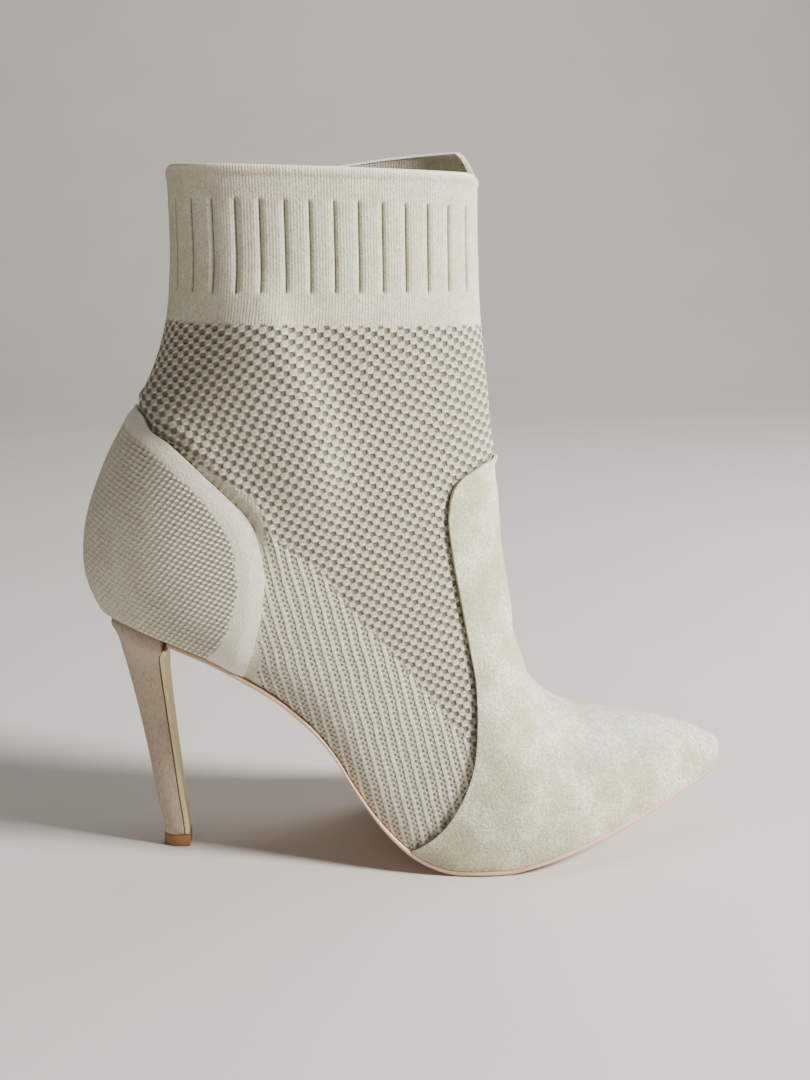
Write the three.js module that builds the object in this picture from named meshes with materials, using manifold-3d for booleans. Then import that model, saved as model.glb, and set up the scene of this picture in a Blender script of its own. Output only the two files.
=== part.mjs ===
// A heeled sock boot for the right foot: one knitted sock from the collar to the pointed toe, with a soft
// vamp and a heel counter laid over it, on a thin sole and a covered stiletto heel.
// Millimetres. +X points to the toe, +Y to the inner side of the foot, +Z up, and the floor is Z = 0.
import * as THREE from 'three';
import { mergeVertices } from 'three/addons/utils/BufferGeometryUtils.js';
import Module from 'manifold-3d';

const wasm = await Module();
wasm.setup();

// Driving sizes of the last
const LENGTH = 240;          // back of the heel curve to the tip of the toe
const BALL_WIDTH = 76;       // across the ball of the foot
const HEEL_HEIGHT = 86;      // floor to the seat, above the front of the heel
const INSTEP = 152;          // back of the heel curve to the instep, the deepest section
const SHAFT_HEIGHT = 162.5;  // seat to the top of the collar, at the back
const SHAFT_DEPTH = 105;     // back to front of the shaft
const SHAFT_WIDTH = 52;      // side to side of the shaft

// Walls, overlays and clearances
const WALL = 1.8;            // knitted upper
const OVERLAY = 1.2;         // vamp and counter
const GAP = 0.3;             // between pieces that meet
const SOLE_EDGE = 2.0;       // outsole
const SOLE_REACH = 1.7;      // outsole past the knit, so that it ends flush with the vamp
const INSOLE = 2.4;          // insole board and its lining
const SINK = 4.5;            // how far a slice starts under the sole's top, where the wall is cut upright
const COLLAR_TILT = -1.4;    // degrees, the collar drops towards the front
const RIM_HEIGHT = 3.2;      // folded edge of the collar
const RIM_STEP = 0.4;        // how far the folded edge stands out of the cuff

// Cuff ribs
const RIBS = 32;
const RIB_TOP = 10.8;        // from the collar down to the top of the grooves
const RIB_LENGTH = 30;
const RIB_WIDTH = 1.1;
const RIB_DEPTH = 0.8;

// Heel
const TOP_PIECE_HEIGHT = 4.7;
const TOP_PIECE_REACH = 0.2; // top piece past the covered heel
const SEAT_INSET = 0.7;      // heel's top edge inside the outline of the sole
const BREAST_STRIP = 2.0;    // thickness of the strip down the front of the heel

// Sections of the last, from the toe over the ball, arch and seat round to the collar. Each one is a flat
// slice that starts at a foot point on the underside or the back and leans up to the front line.
// x: foot point along LENGTH. rise: its height, 0 floor, 1 seat, 2 collar. lean: degrees of the slice.
// deep: foot point to front line, in INSTEP and then SHAFT_DEPTH. leg: share of the shaft sizes used.
// swing, out, inn: shift to the inner side and half widths, in BALL_WIDTH and then SHAFT_WIDTH.
const SECTION_COLUMNS = ['x', 'rise', 'lean', 'deep', 'leg', 'swing', 'out', 'inn'];
const SECTIONS = [
  [0.496, 0.312, 90, 0.026, 0, 0.054, 0.000, 0.000],
  [0.4875, 0.242, 88, 0.080, 0, 0.053, 0.047, 0.047],
  [0.4735, 0.204, 90, 0.114, 0, 0.050, 0.083, 0.080],
  [0.447, 0.180, 91, 0.152, 0, 0.045, 0.130, 0.124],
  [0.406, 0.150, 92, 0.191, 0, 0.039, 0.198, 0.186],
  [0.357, 0.114, 92, 0.228, 0, 0.031, 0.276, 0.262],
  [0.303, 0.078, 92, 0.264, 0, 0.022, 0.355, 0.335],
  [0.246, 0.044, 92, 0.306, 0, 0.013, 0.424, 0.404],
  [0.189, 0.018, 87, 0.357, 0, 0.006, 0.470, 0.450],
  [0.131, 0.002, 81, 0.423, 0, 0.003, 0.489, 0.474],
  [0.074, -0.004, 74, 0.495, 0, 0, 0.486, 0.459],
  [0.016, 0.010, 69, 0.572, 0, 0, 0.462, 0.426],
  [-0.041, 0.074, 63, 0.635, 0, 0, 0.424, 0.388],
  [-0.090, 0.240, 57, 0.648, 0, 0, 0.390, 0.361],
  [-0.143, 0.498, 48, 0.634, 0, 0, 0.376, 0.353],
  [-0.205, 0.709, 39, 0.664, 0, 0, 0.378, 0.362],
  [-0.287, 0.858, 32, 0.754, 0, 0, 0.388, 0.381],
  [-0.377, 0.984, 27, 0.868, 0, 0, 0.399, 0.396],
  [-0.4355, 1.032, 24, 0.9565, 0, 0, 0.404, 0.404],
  [-0.490, 1.129, 20.5, 1.011, 0, 0, 0.404, 0.404],
  [-0.487, 1.250, 17.5, 1.046, 0.2, 0, 0.428, 0.428],
  [-0.455, 1.380, 14, 1.071, 0.5, 0, 0.455, 0.455],
  [-0.414, 1.492, 11, 1.094, 0.8, 0, 0.494, 0.494],
  [-0.381, 1.594, 6.0, 1.096, 1, 0, 0.522, 0.522],
  [-0.361, 1.685, 1.0, 1.039, 1, 0, 0.508, 0.508],
  [-0.353, 1.782, -0.8, 1.013, 1, 0, 0.500, 0.500],
  [-0.351, 1.890, -1.3, 1.002, 1, 0, 0.496, 0.496],
  [-0.352, 2.090, -1.4, 1.004, 1, 0, 0.496, 0.496],
];

// Roundness of those sections. row: section it belongs to. level: height of the widest place as a share
// of the slice. base: flatness of the underside. side, crown: fullness above the widest place and on top.
const ROUNDNESS_COLUMNS = ['row', 'level', 'base', 'side', 'crown'];
const ROUNDNESS = [
  [0, 0.40, 0.60, 0.55, 0.55],
  [3, 0.27, 0.84, 0.60, 0.50],
  [6, 0.20, 0.92, 0.60, 0.46],
  [10, 0.17, 0.92, 0.60, 0.48],
  [14, 0.24, 0.80, 0.60, 0.56],
  [17, 0.34, 0.72, 0.56, 0.60],
  [20, 0.41, 0.58, 0.46, 0.60],
  [23, 0.42, 0.58, 0.38, 0.60],
  [27, 0.42, 0.64, 0.40, 0.66],
];

// Underside of the sole and seat, from behind the heel to past the toe: x along LENGTH, rise along
// HEEL_HEIGHT. Its two rows at zero are the forefoot's flat spot.
const SOLE_COLUMNS = ['x', 'rise'];
const SOLE = [
  [-0.54, 1.155],
  [-0.48, 1.095],
  [-0.43, 1.060],
  [-0.365, 0.985],
  [-0.31, 0.915],
  [-0.27, 0.845],
  [-0.226, 0.765],
  [-0.19, 0.680],
  [-0.16, 0.600],
  [-0.13, 0.487],
  [-0.103, 0.355],
  [-0.073, 0.228],
  [-0.045, 0.138],
  [-0.015, 0.066],
  [0.02, 0.018],
  [0.055, 0],
  [0.13, 0],
  [0.16, 0.018],
  [0.205, 0.047],
  [0.255, 0.078],
  [0.31, 0.112],
  [0.37, 0.155],
  [0.42, 0.197],
  [0.47, 0.237],
  [0.54, 0.290],
];

// Covered heel, from its foot to the seat. rise: share of HEEL_HEIGHT at the back. drop: how much lower
// the front of the ring lies. back, front: x along LENGTH. wide: half width in BALL_WIDTH. seat: 0 for the
// heel's own rounded section, 1 for the outline of the sole above it.
const HEEL_COLUMNS = ['rise', 'drop', 'back', 'front', 'wide', 'seat'];
const HEEL = [
  [0.058, 0, -0.4005, -0.3690, 0.064, 0],
  [0.23, 0, -0.4095, -0.3745, 0.068, 0],
  [0.46, 0, -0.4205, -0.3815, 0.075, 0],
  [0.66, 0, -0.4320, -0.3875, 0.090, 0],
  [0.83, 0.01, -0.4435, -0.3915, 0.118, 0],
  [0.92, 0.025, -0.4493, -0.3910, 0.155, 0.10],
  [0.985, 0.05, -0.4512, -0.3885, 0.205, 0.34],
  [1.03, 0.075, -0.4525, -0.3850, 0.252, 0.66],
  [1.08, 0.10, -0.4570, -0.3815, 0.285, 1],
];

// Edge of the vamp in side view, from the front of the shin down to the sole: x along LENGTH, rise as above
const VAMP_EDGE = [
  [0.150, 1.386],
  [0.105, 1.379],
  [0.081, 1.367],
  [0.057, 1.348],
  [0.046, 1.324],
  [0.041, 1.289],
  [0.040, 1.255],
  [0.047, 1.180],
  [0.062, 1.060],
  [0.073, 0.950],
  [0.081, 0.800],
  [0.081, 0.640],
  [0.076, 0.500],
  [0.065, 0.395],
  [0.049, 0.300],
  [0.027, 0.210],
  [0.000, 0.140],
  [-0.035, 0.075],
  [-0.090, -0.010],
];

// Edge of the counter in side view, from the back of the ankle down to the sole
const COUNTER_EDGE = [
  [-0.460, 1.520],
  [-0.403, 1.500],
  [-0.384, 1.467],
  [-0.354, 1.440],
  [-0.313, 1.386],
  [-0.273, 1.330],
  [-0.250, 1.293],
  [-0.237, 1.248],
  [-0.230, 1.185],
  [-0.229, 1.135],
  [-0.235, 1.080],
  [-0.248, 1.000],
  [-0.262, 0.880],
  [-0.285, 0.700],
];

// Facets
const STOPS = 42;            // sections along the last
const TOE_STATIONS = 3;       // stations at the toe, where the sections stand closer
const AROUND = 14;           // facets on each side of a section
const INNER_AROUND = 11;
const SOLE_STEPS = 60;
const MEET_STEPS = 240;         // samples on half a slice, to find where it meets the sole
const SHAFT_ROWS = 6;           // sections of the shaft, counted down from the collar
const FINE = 40;             // samples on each half of a section's outline

// Small helpers
const mix = (a, b, t) => a + (b - a) * t;
const toSolid = (geometry) => {
  const bare = new THREE.BufferGeometry();
  const loose = geometry.index ? geometry.toNonIndexed() : geometry;
  bare.setAttribute('position', loose.getAttribute('position'));
  const merged = mergeVertices(bare, 1e-3);
  const faces = [];
  const index = merged.index.array;
  for (let i = 0; i < index.length; i += 3) {
    const [a, b, c] = [index[i], index[i + 1], index[i + 2]];
    if (a !== b && b !== c && c !== a) faces.push(a, b, c);
  }
  const vertProperties = new Float32Array(merged.attributes.position.array);
  return new wasm.Manifold(new wasm.Mesh({ numProp: 3, vertProperties, triVerts: new Uint32Array(faces) }));
};
const toGeometry = (solid) => {
  const mesh = solid.getMesh();
  const geometry = new THREE.BufferGeometry();
  const places = new Float32Array(mesh.numVert * 3);
  for (let i = 0; i < mesh.numVert; i += 1) {
    for (let k = 0; k < 3; k += 1) places[3 * i + k] = mesh.vertProperties[mesh.numProp * i + k];
  }
  geometry.setAttribute('position', new THREE.BufferAttribute(places, 3));
  geometry.setIndex(new THREE.BufferAttribute(new Uint32Array(mesh.triVerts), 1));
  return geometry;
};
const named = (columns, rows) => rows.map((row) => Object.fromEntries(columns.map((key, i) => [key, row[i]])));

// A smooth function of x through rows of [x, y], level wherever two neighbours are level
function curveThrough(rows) {
  const slope = rows.map((row, i) => {
    const before = rows[Math.max(i - 1, 0)];
    const after = rows[Math.min(i + 1, rows.length - 1)];
    if (before[1] === row[1] || after[1] === row[1]) return 0;
    return (after[1] - before[1]) / (after[0] - before[0]);
  });
  return (x) => {
    let i = 0;
    while (i < rows.length - 2 && x > rows[i + 1][0]) i += 1;
    const [x0, y0] = rows[i];
    const [x1, y1] = rows[i + 1];
    const span = x1 - x0;
    const t = (x - x0) / span;
    const rise = y0 * (1 + 2 * t) * (1 - t) ** 2 + y1 * t * t * (3 - 2 * t);
    return rise + span * (slope[i] * t * (1 - t) ** 2 - slope[i + 1] * t * t * (1 - t));
  };
}

// Height above the floor of a rise of 0 at the floor, 1 at the seat and 2 at the collar
const heightOf = (rise) => (rise <= 1 ? rise * HEEL_HEIGHT : HEEL_HEIGHT + (rise - 1) * SHAFT_HEIGHT);
const soleLine = named(SOLE_COLUMNS, SOLE).map(({ x, rise }) => [x * LENGTH, rise * HEEL_HEIGHT]);
const soleUnder = curveThrough(soleLine);
const soleTop = (x) => soleUnder(x) + SOLE_EDGE;

// The last
const roundness = ROUNDNESS_COLUMNS.slice(1).map((key, i) => (
  [key, curveThrough(ROUNDNESS.map((row) => [row[0], row[i + 1]]))]));
const stations = named(SECTION_COLUMNS, SECTIONS).map((row, i) => {
  const lean = THREE.MathUtils.degToRad(row.lean);
  const [alongX, alongZ] = [Math.cos(lean), Math.sin(lean)];
  const deep = row.deep * mix(INSTEP, SHAFT_DEPTH, row.leg);
  const width = mix(BALL_WIDTH, SHAFT_WIDTH, row.leg);
  const under = soleTop(row.x * LENGTH) - heightOf(row.rise);
  const sink = SINK * THREE.MathUtils.clamp(under / SOLE_EDGE, 0, 1);
  const footX = row.x * LENGTH - sink * alongX;
  const footZ = heightOf(row.rise) - sink * alongZ;
  const topX = row.x * LENGTH + deep * alongX;
  const topZ = heightOf(row.rise) + deep * alongZ;
  const station = { footX, footZ, topX, topZ, swing: row.swing * width };
  Object.assign(station, { out: row.out * width, inn: row.inn * width });
  for (const [key, value] of roundness) station[key] = value(i);
  station.level = (station.level * deep + sink) / (deep + sink);
  return station;
});
const LAST_STATION = stations.length - 1;

// The section at s, anywhere between station 0 and the last one
function sectionAt(s) {
  const i = Math.min(Math.floor(s), LAST_STATION - 1);
  const t = s - i;
  const near = [i - 1, i, i + 1, i + 2].map((k) => stations[THREE.MathUtils.clamp(k, 0, LAST_STATION)]);
  const section = {};
  for (const key of Object.keys(stations[0])) {
    const [a, b, c, d] = near.map((station) => station[key]);
    const bend = 2 * a - 5 * b + 4 * c - d;
    section[key] = 0.5 * (2 * b + (c - a) * t + bend * t * t + (3 * b - a - 3 * c + d) * t ** 3);
  }
  section.out = Math.max(section.out, 0);
  section.inn = Math.max(section.inn, 0);
  return section;
}

const bezier = (a, b, c, d, t) => {
  const r = 1 - t;
  return a * r ** 3 + 3 * b * t * r * r + 3 * c * t * t * r + d * t ** 3;
};

// Half of a section's outline from the foot point to the front line, as points evenly spaced at the
// shares given. side is -1 for the outer side of the foot and 1 for the inner side.
function halfOutline(section, side, shares) {
  const riseX = section.topX - section.footX;
  const riseZ = section.topZ - section.footZ;
  const deep = Math.hypot(riseX, riseZ);
  const width = side < 0 ? section.out : section.inn;
  const level = section.level * deep;
  const flat = [];
  for (let i = 0; i <= FINE; i += 1) {
    const t = i / FINE;
    flat.push([bezier(0, section.base * width, width, width, t), bezier(0, 0, level * (1 - section.base), level, t)]);
  }
  for (let i = 1; i <= FINE; i += 1) {
    const t = i / FINE;
    const across = bezier(width, width, section.crown * width, 0, t);
    flat.push([across, bezier(level, mix(level, deep, section.side), deep, deep, t)]);
  }
  const run = [0];
  for (let i = 1; i < flat.length; i += 1) {
    run.push(run[i - 1] + Math.hypot(flat[i][0] - flat[i - 1][0], flat[i][1] - flat[i - 1][1]));
  }
  return shares.map((share) => {
    const goal = share * run[run.length - 1];
    let i = 0;
    while (i < run.length - 2 && run[i + 1] < goal) i += 1;
    const t = (goal - run[i]) / Math.max(run[i + 1] - run[i], 1e-9);
    const across = mix(flat[i][0], flat[i + 1][0], t);
    const up = mix(flat[i][1], flat[i + 1][1], t) / deep;
    const y = section.swing + side * across;
    return new THREE.Vector3(section.footX + riseX * up, y, section.footZ + riseZ * up);
  });
}

// Stops along the last, evenly far apart by whichever of its two lines moves more
const stops = (() => {
  const run = [[0, 0]];
  for (let s = 0.05; s <= LAST_STATION + 1e-6; s += 0.05) {
    const here = sectionAt(Math.min(s, LAST_STATION));
    const before = sectionAt(run[run.length - 1][0]);
    const foot = Math.hypot(here.footX - before.footX, here.footZ - before.footZ);
    const top = Math.hypot(here.topX - before.topX, here.topZ - before.topZ);
    const wide = 1.5 * Math.abs(here.out - before.out);
    const fine = s < TOE_STATIONS ? 2.2 : 1;
    run.push([Math.min(s, LAST_STATION), run[run.length - 1][1] + fine * Math.max(foot, 0.8 * top, wide)]);
  }
  const whole = run[run.length - 1][1];
  return Array.from({ length: STOPS + 1 }, (_, k) => {
    const goal = (whole * k) / STOPS;
    return run.find((entry) => entry[1] >= goal - 1e-6)[0];
  });
})();

// The last grown or shrunk by an offset, as a closed solid capped above the collar
function lastForm(offset, around = AROUND) {
  const shares = Array.from({ length: around + 1 }, (_, k) => {
    const t = k / around;
    return t - (0.45 * Math.sin(2 * Math.PI * t)) / (2 * Math.PI);
  });
  const rings = stops.map((s) => {
    const section = sectionAt(s);
    const outer = halfOutline(section, -1, shares);
    const inner = halfOutline(section, 1, shares).reverse();
    return outer.concat(inner.slice(1, -1));
  });
  const size = rings[0].length;
  const places = rings.flat().flatMap((p) => [p.x, p.y, p.z]);
  const corner = (ring, k) => ring * size + (ring === 0 && k > around ? size - k : k % size);
  const faces = [];
  for (let i = 0; i < rings.length - 1; i += 1) {
    for (let k = 0; k < size; k += 1) {
      const [a, b, c, d] = [corner(i, k), corner(i, k + 1), corner(i + 1, k + 1), corner(i + 1, k)];
      faces.push(a, b, c, a, c, d);
    }
  }
  const skin = new THREE.BufferGeometry();
  skin.setAttribute('position', new THREE.BufferAttribute(new Float32Array(places), 3));
  skin.setIndex(faces);
  skin.computeVertexNormals();
  const normal = skin.attributes.normal;
  const grown = places.map((value, i) => value + offset * normal.array[i]);
  const first = places.length / 3 - size;
  const centre = [0, 0, 0];
  for (let k = 0; k < size; k += 1) {
    for (let axis = 0; axis < 3; axis += 1) centre[axis] += grown[3 * (first + k) + axis] / size;
    faces.push(first + k, first + ((k + 1) % size), places.length / 3);
  }
  const closed = new THREE.BufferGeometry();
  closed.setAttribute('position', new THREE.BufferAttribute(new Float32Array([...grown, ...centre]), 3));
  closed.setIndex(faces);
  return toSolid(closed);
}

// The stop along the last whose foot point, on the back of the shaft, lies at a height
function stopAt(height) {
  let [a, b] = [LAST_STATION - SHAFT_ROWS, LAST_STATION];
  for (let i = 0; i < 30; i += 1) {
    const middle = (a + b) / 2;
    if (sectionAt(middle).footZ < height) a = middle;
    else b = middle;
  }
  return (a + b) / 2;
}

// A region of the side view, as a bar across the whole boot
function sideBar(points) {
  const shape = new THREE.Shape(points.map(([x, z]) => new THREE.Vector2(x, z)));
  const span = 2 * BALL_WIDTH;
  const bar = new THREE.ExtrudeGeometry(shape, { depth: span, bevelEnabled: false, curveSegments: 1 });
  bar.rotateX(Math.PI / 2);
  bar.translate(0, span / 2, 0);
  return toSolid(bar);
}
const sideCurve = (rows, pieces) => {
  const guide = rows.map(([x, rise]) => new THREE.Vector2(x * LENGTH, heightOf(rise)));
  return new THREE.SplineCurve(guide).getPoints(pieces).map((p) => [p.x, p.y]);
};

// Everything above the sole's top and below the collar
const HIGH = HEEL_HEIGHT + 2 * SHAFT_HEIGHT;
const soleStops = Array.from({ length: SOLE_STEPS + 1 }, (_, k) => mix(-0.54, 0.54, k / SOLE_STEPS) * LENGTH);
const aboveSole = (lift) => sideBar([
  ...soleStops.map((x) => [x, soleTop(x) + lift]),
  [LENGTH, soleTop(0.54 * LENGTH) + lift],
  [LENGTH, HIGH],
  [-LENGTH, HIGH],
  [-LENGTH, soleTop(-0.54 * LENGTH) + lift],
]);
const collarBack = stations[LAST_STATION].footX;
const collarAt = (x) => heightOf(2) + (x - collarBack) * Math.tan(THREE.MathUtils.degToRad(COLLAR_TILT));
const belowCollar = (drop) => sideBar([
  [-LENGTH, -HEEL_HEIGHT],
  [LENGTH, -HEEL_HEIGHT],
  [LENGTH, collarAt(LENGTH) - drop],
  [-LENGTH, collarAt(-LENGTH) - drop],
]);

// Forms shared by the pieces
const knitOutside = lastForm(0);
const knitInside = lastForm(-WALL, INNER_AROUND);
const overlayInside = lastForm(GAP);
const overlayOutside = lastForm(GAP + OVERLAY);
const overlayShell = overlayOutside.subtract(overlayInside).intersect(aboveSole(GAP));

// Knitted sock: cuff with a folded rim and ribs, shaft and quarters, open at the collar and underneath
function makeUpper() {
  const rimShell = lastForm(RIM_STEP).intersect(belowCollar(0)).subtract(belowCollar(RIM_HEIGHT));
  let sock = knitOutside.intersect(aboveSole(GAP)).intersect(belowCollar(0)).add(rimShell);
  const [high, low] = [RIB_TOP, RIB_TOP + RIB_LENGTH].map((down) => stopAt(heightOf(2) - down));
  const shares = Array.from({ length: RIBS / 2 }, (_, k) => (k + 0.5) / (RIBS / 2));
  const grooves = [];
  for (const side of [-1, 1]) {
    const [upper, lower] = [high, low].map((s) => halfOutline(sectionAt(s), side, shares));
    for (let k = 0; k < shares.length; k += 1) {
      const before = lower[Math.max(k - 1, 0)];
      const after = lower[Math.min(k + 1, shares.length - 1)];
      const along = new THREE.Vector3(after.x - before.x, after.y - before.y, 0).normalize();
      const out = new THREE.Vector3(along.y, -along.x, 0).multiplyScalar(-side);
      const corner = (p, u, v) => p.clone().addScaledVector(along, u * side * RIB_WIDTH / 2).addScaledVector(out, v);
      const quad = (p) => [
        corner(p, 1, -RIB_DEPTH),
        corner(p, 1, RIB_DEPTH),
        corner(p, -1, RIB_DEPTH),
        corner(p, -1, -RIB_DEPTH),
      ];
      grooves.push(loft([quad(lower[k]), quad(upper[k])]));
    }
  }
  for (const groove of grooves) sock = sock.subtract(groove);
  return sock.subtract(knitInside);
}

// Vamp: soft overlay over the toe and instep, inside its edge in side view
function makeVamp() {
  const edge = sideCurve(VAMP_EDGE, 36);
  const floor = -HEEL_HEIGHT;
  const region = sideBar([...edge, [edge[edge.length - 1][0], floor], [LENGTH, floor], [LENGTH, edge[0][1]]]);
  return overlayShell.intersect(region);
}

// Counter: the raised panel round the back of the heel
function makeCounter() {
  const edge = sideCurve(COUNTER_EDGE, 30);
  const floor = 0;
  const region = sideBar([...edge, [edge[edge.length - 1][0], floor], [-LENGTH, floor], [-LENGTH, edge[0][1]]]);
  return overlayShell.intersect(region);
}

// Insole: a thin layer on the sole, inside the sock
function makeInsole() {
  const inside = lastForm(-WALL - GAP, INNER_AROUND);
  return inside.intersect(aboveSole(GAP)).subtract(aboveSole(GAP + INSOLE));
}

// Outline of the sole in plan: where the sock meets the sole's top, moved out by SOLE_REACH.
// Pairs of outer and inner points from the toe to the back of the seat.
const solePairs = (() => {
  const over = (p) => p.z - soleTop(p.x);
  const footOver = (s) => {
    const { footX, footZ } = sectionAt(s);
    return footZ - soleTop(footX);
  };
  const crossing = (low, high) => {
    let [a, b] = [low, high];
    for (let i = 0; i < 40; i += 1) {
      const middle = (a + b) / 2;
      if (Math.sign(footOver(middle)) === Math.sign(footOver(a))) a = middle;
      else b = middle;
    }
    return (a + b) / 2;
  };
  const samples = Array.from({ length: 10 * LAST_STATION + 1 }, (_, k) => k / 10);
  const below = samples.filter((s) => footOver(s) < 0);
  const start = crossing(below[0] - 0.1, below[0]);
  const end = crossing(below[below.length - 1], below[below.length - 1] + 0.1);
  const shares = Array.from({ length: MEET_STEPS + 1 }, (_, k) => k / (2 * MEET_STEPS));
  const meet = (s, side) => {
    const half = halfOutline(sectionAt(s), side, shares);
    const k = Math.max(half.findIndex((p) => over(p) >= 0), 1);
    const t = over(half[k - 1]) / (over(half[k - 1]) - over(half[k]));
    return half[k - 1].clone().lerp(half[k], THREE.MathUtils.clamp(t, 0, 1));
  };
  const pairs = [];
  for (let k = 0; k <= SOLE_STEPS; k += 1) {
    const t = k / SOLE_STEPS;
    const s = mix(start, end, t - (0.6 * Math.sin(2 * Math.PI * t)) / (2 * Math.PI));
    pairs.push([meet(s, -1), meet(s, 1)]);
  }
  const loop = pairs.map(([outer]) => outer).reverse().concat(pairs.slice(1, -1).map(([, inner]) => inner));
  const moved = loop.map((point, k) => {
    const before = loop[(k + loop.length - 1) % loop.length];
    const after = loop[(k + 1) % loop.length];
    const along = new THREE.Vector2(after.x - before.x, after.y - before.y).normalize();
    return new THREE.Vector2(point.x + SOLE_REACH * along.y, point.y - SOLE_REACH * along.x);
  });
  const count = pairs.length;
  return pairs.map((_, k) => {
    const outer = moved[count - 1 - k];
    const inner = k === 0 || k === count - 1 ? outer : moved[count - 1 + k];
    return [outer, inner];
  });
})();
// A closed solid through rings of equally many points, capped flat at both ends
function loft(rings) {
  const size = rings[0].length;
  const places = rings.flat().flatMap((p) => [p.x, p.y, p.z]);
  const faces = [];
  for (let i = 0; i < rings.length - 1; i += 1) {
    for (let k = 0; k < size; k += 1) {
      const next = (k + 1) % size;
      const [a, b, c, d] = [i * size + k, i * size + next, (i + 1) * size + next, (i + 1) * size + k];
      faces.push(a, b, c, a, c, d);
    }
  }
  const last = (rings.length - 1) * size;
  for (let k = 1; k < size - 1; k += 1) {
    faces.push(0, k + 1, k);
    faces.push(last, last + k, last + k + 1);
  }
  const geometry = new THREE.BufferGeometry();
  geometry.setAttribute('position', new THREE.BufferAttribute(new Float32Array(places), 3));
  geometry.setIndex(faces);
  return toSolid(geometry);
}

// The breast of the heel: the sole's back end, the heel's front and the strip all follow it
const heelRows = named(HEEL_COLUMNS, HEEL);
const heelLine = (key, unit) => {
  const through = curveThrough(heelRows.map((row) => [row.rise, row[key] * unit]));
  return (rise) => through(rise);
};
const heelBack = heelLine('back', LENGTH);
const heelFront = heelLine('front', LENGTH);
const heelWide = heelLine('wide', BALL_WIDTH);
const heelDrop = heelLine('drop', HEEL_HEIGHT);
const heelSeat = heelLine('seat', 1);
const HEEL_TOP = heelRows[heelRows.length - 1].rise;
const BREAST_X = heelFront(HEEL_TOP) + BREAST_STRIP;

// Outsole from the toe to the breast of the heel, with a small bevel along its lower edge
function makeOutsole() {
  const kept = solePairs.filter(([outer, inner]) => Math.min(outer.x, inner.x) > BREAST_X + 1.5);
  const before = solePairs[kept.length];
  const close = kept[kept.length - 1];
  const ending = [0, 1].map((side) => {
    const t = (close[side].x - BREAST_X) / (close[side].x - before[side].x);
    return close[side].clone().lerp(before[side], t);
  });
  const bevel = 0.25 * SOLE_EDGE;
  const rings = [...kept.slice(1), ending].map(([outer, inner]) => {
    const width = Math.max(inner.y - outer.y, 1e-3);
    const at = (inset, drop) => [outer, inner].map((p, side) => {
      const toward = Math.min(inset / width, 0.45);
      const other = side === 0 ? inner : outer;
      const x = mix(p.x, other.x, toward);
      return new THREE.Vector3(x, mix(p.y, other.y, toward), soleTop(x) - drop);
    });
    const [topOut, topInn] = at(0, 0);
    const [edgeOut, edgeInn] = at(0, SOLE_EDGE - bevel);
    const [lowOut, lowInn] = at(bevel, SOLE_EDGE);
    return [topOut, topInn, edgeInn, lowInn, lowOut, edgeOut];
  });
  const [tip] = kept[0];
  const nose = [0, 0, SOLE_EDGE - bevel, SOLE_EDGE, SOLE_EDGE, SOLE_EDGE - bevel];
  const pinch = 0.02;
  const side = [-1, 1, 1, 1, -1, -1];
  const firstRing = nose.map((drop, k) => {
    const x = tip.x - (k === 3 || k === 4 ? bevel : 0);
    return new THREE.Vector3(x, tip.y + side[k] * pinch, soleTop(x) - drop);
  });
  return loft([firstRing, ...rings]);
}

// One ring of the heel at a rise, from the front's inner corner round the back to its outer corner
const HEEL_AROUND = 24;
const FLAT_FRONT = 0.9;      // half width of the heel's flat front, as a share of its widest
function heelRing(rise, grow = 0) {
  const seat = heelSeat(rise);
  const xBack = heelBack(rise) - grow;
  const xFront = heelFront(rise) + grow;
  const zBack = rise * HEEL_HEIGHT;
  const drop = heelDrop(rise);
  const wide = heelWide(rise) + grow;
  return Array.from({ length: HEEL_AROUND + 1 }, (_, k) => {
    const side = k < HEEL_AROUND / 2 ? 1 : -1;
    const t = Math.abs((2 * k) / HEEL_AROUND - 1);
    const along = t ** 1.6;
    const x = mix(xBack, xFront, along);
    const round = Math.sqrt(1 - (1 - along) ** 2.4) * mix(1, FLAT_FRONT, along ** 3);
    const plan = soleEdge(x, side) - side * SEAT_INSET;
    const y = mix(side * wide * round, plan, seat);
    return new THREE.Vector3(x, y, zBack - drop * along);
  });
}

// Half width of the sole at x, negative on the outer side
function soleEdge(x, side) {
  const line = solePairs.map((pair) => pair[side < 0 ? 0 : 1]);
  let i = 0;
  while (i < line.length - 2 && line[i + 1].x > x) i += 1;
  const t = THREE.MathUtils.clamp((line[i].x - x) / (line[i].x - line[i + 1].x), 0, 1);
  return mix(line[i].y, line[i + 1].y, t);
}

// Covered stiletto heel, cut to the slope of the seat
const HEEL_STEPS = 16;
const HEEL_FOOT = TOP_PIECE_HEIGHT + GAP;
function makeHeel() {
  const low = HEEL_FOOT / HEEL_HEIGHT;
  const rises = Array.from({ length: HEEL_STEPS + 1 }, (_, k) => mix(low, HEEL_TOP, (k / HEEL_STEPS) ** 0.75));
  const rings = rises.map((rise) => heelRing(rise));
  const lid = rings[rings.length - 1].map((p) => new THREE.Vector3(p.x, p.y, p.z + 0.2 * HEEL_HEIGHT));
  return loft([...rings, lid]).subtract(aboveSole(0));
}

// Strip down the front of the heel, under the end of the sole
function makeBreastStrip() {
  const low = HEEL_FOOT / HEEL_HEIGHT;
  const rings = Array.from({ length: HEEL_STEPS + 1 }, (_, k) => {
    const rise = mix(low, HEEL_TOP, k / HEEL_STEPS);
    const ring = heelRing(rise);
    const [inner, outer] = [ring[0], ring[ring.length - 1]];
    const near = outer.x + GAP;
    const far = outer.x + BREAST_STRIP;
    const corner = (x, y) => new THREE.Vector3(x, y, outer.z);
    return [corner(near, inner.y), corner(near, outer.y), corner(far, outer.y), corner(far, inner.y)];
  });
  return loft(rings).subtract(aboveSole(-SOLE_EDGE - GAP));
}

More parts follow.
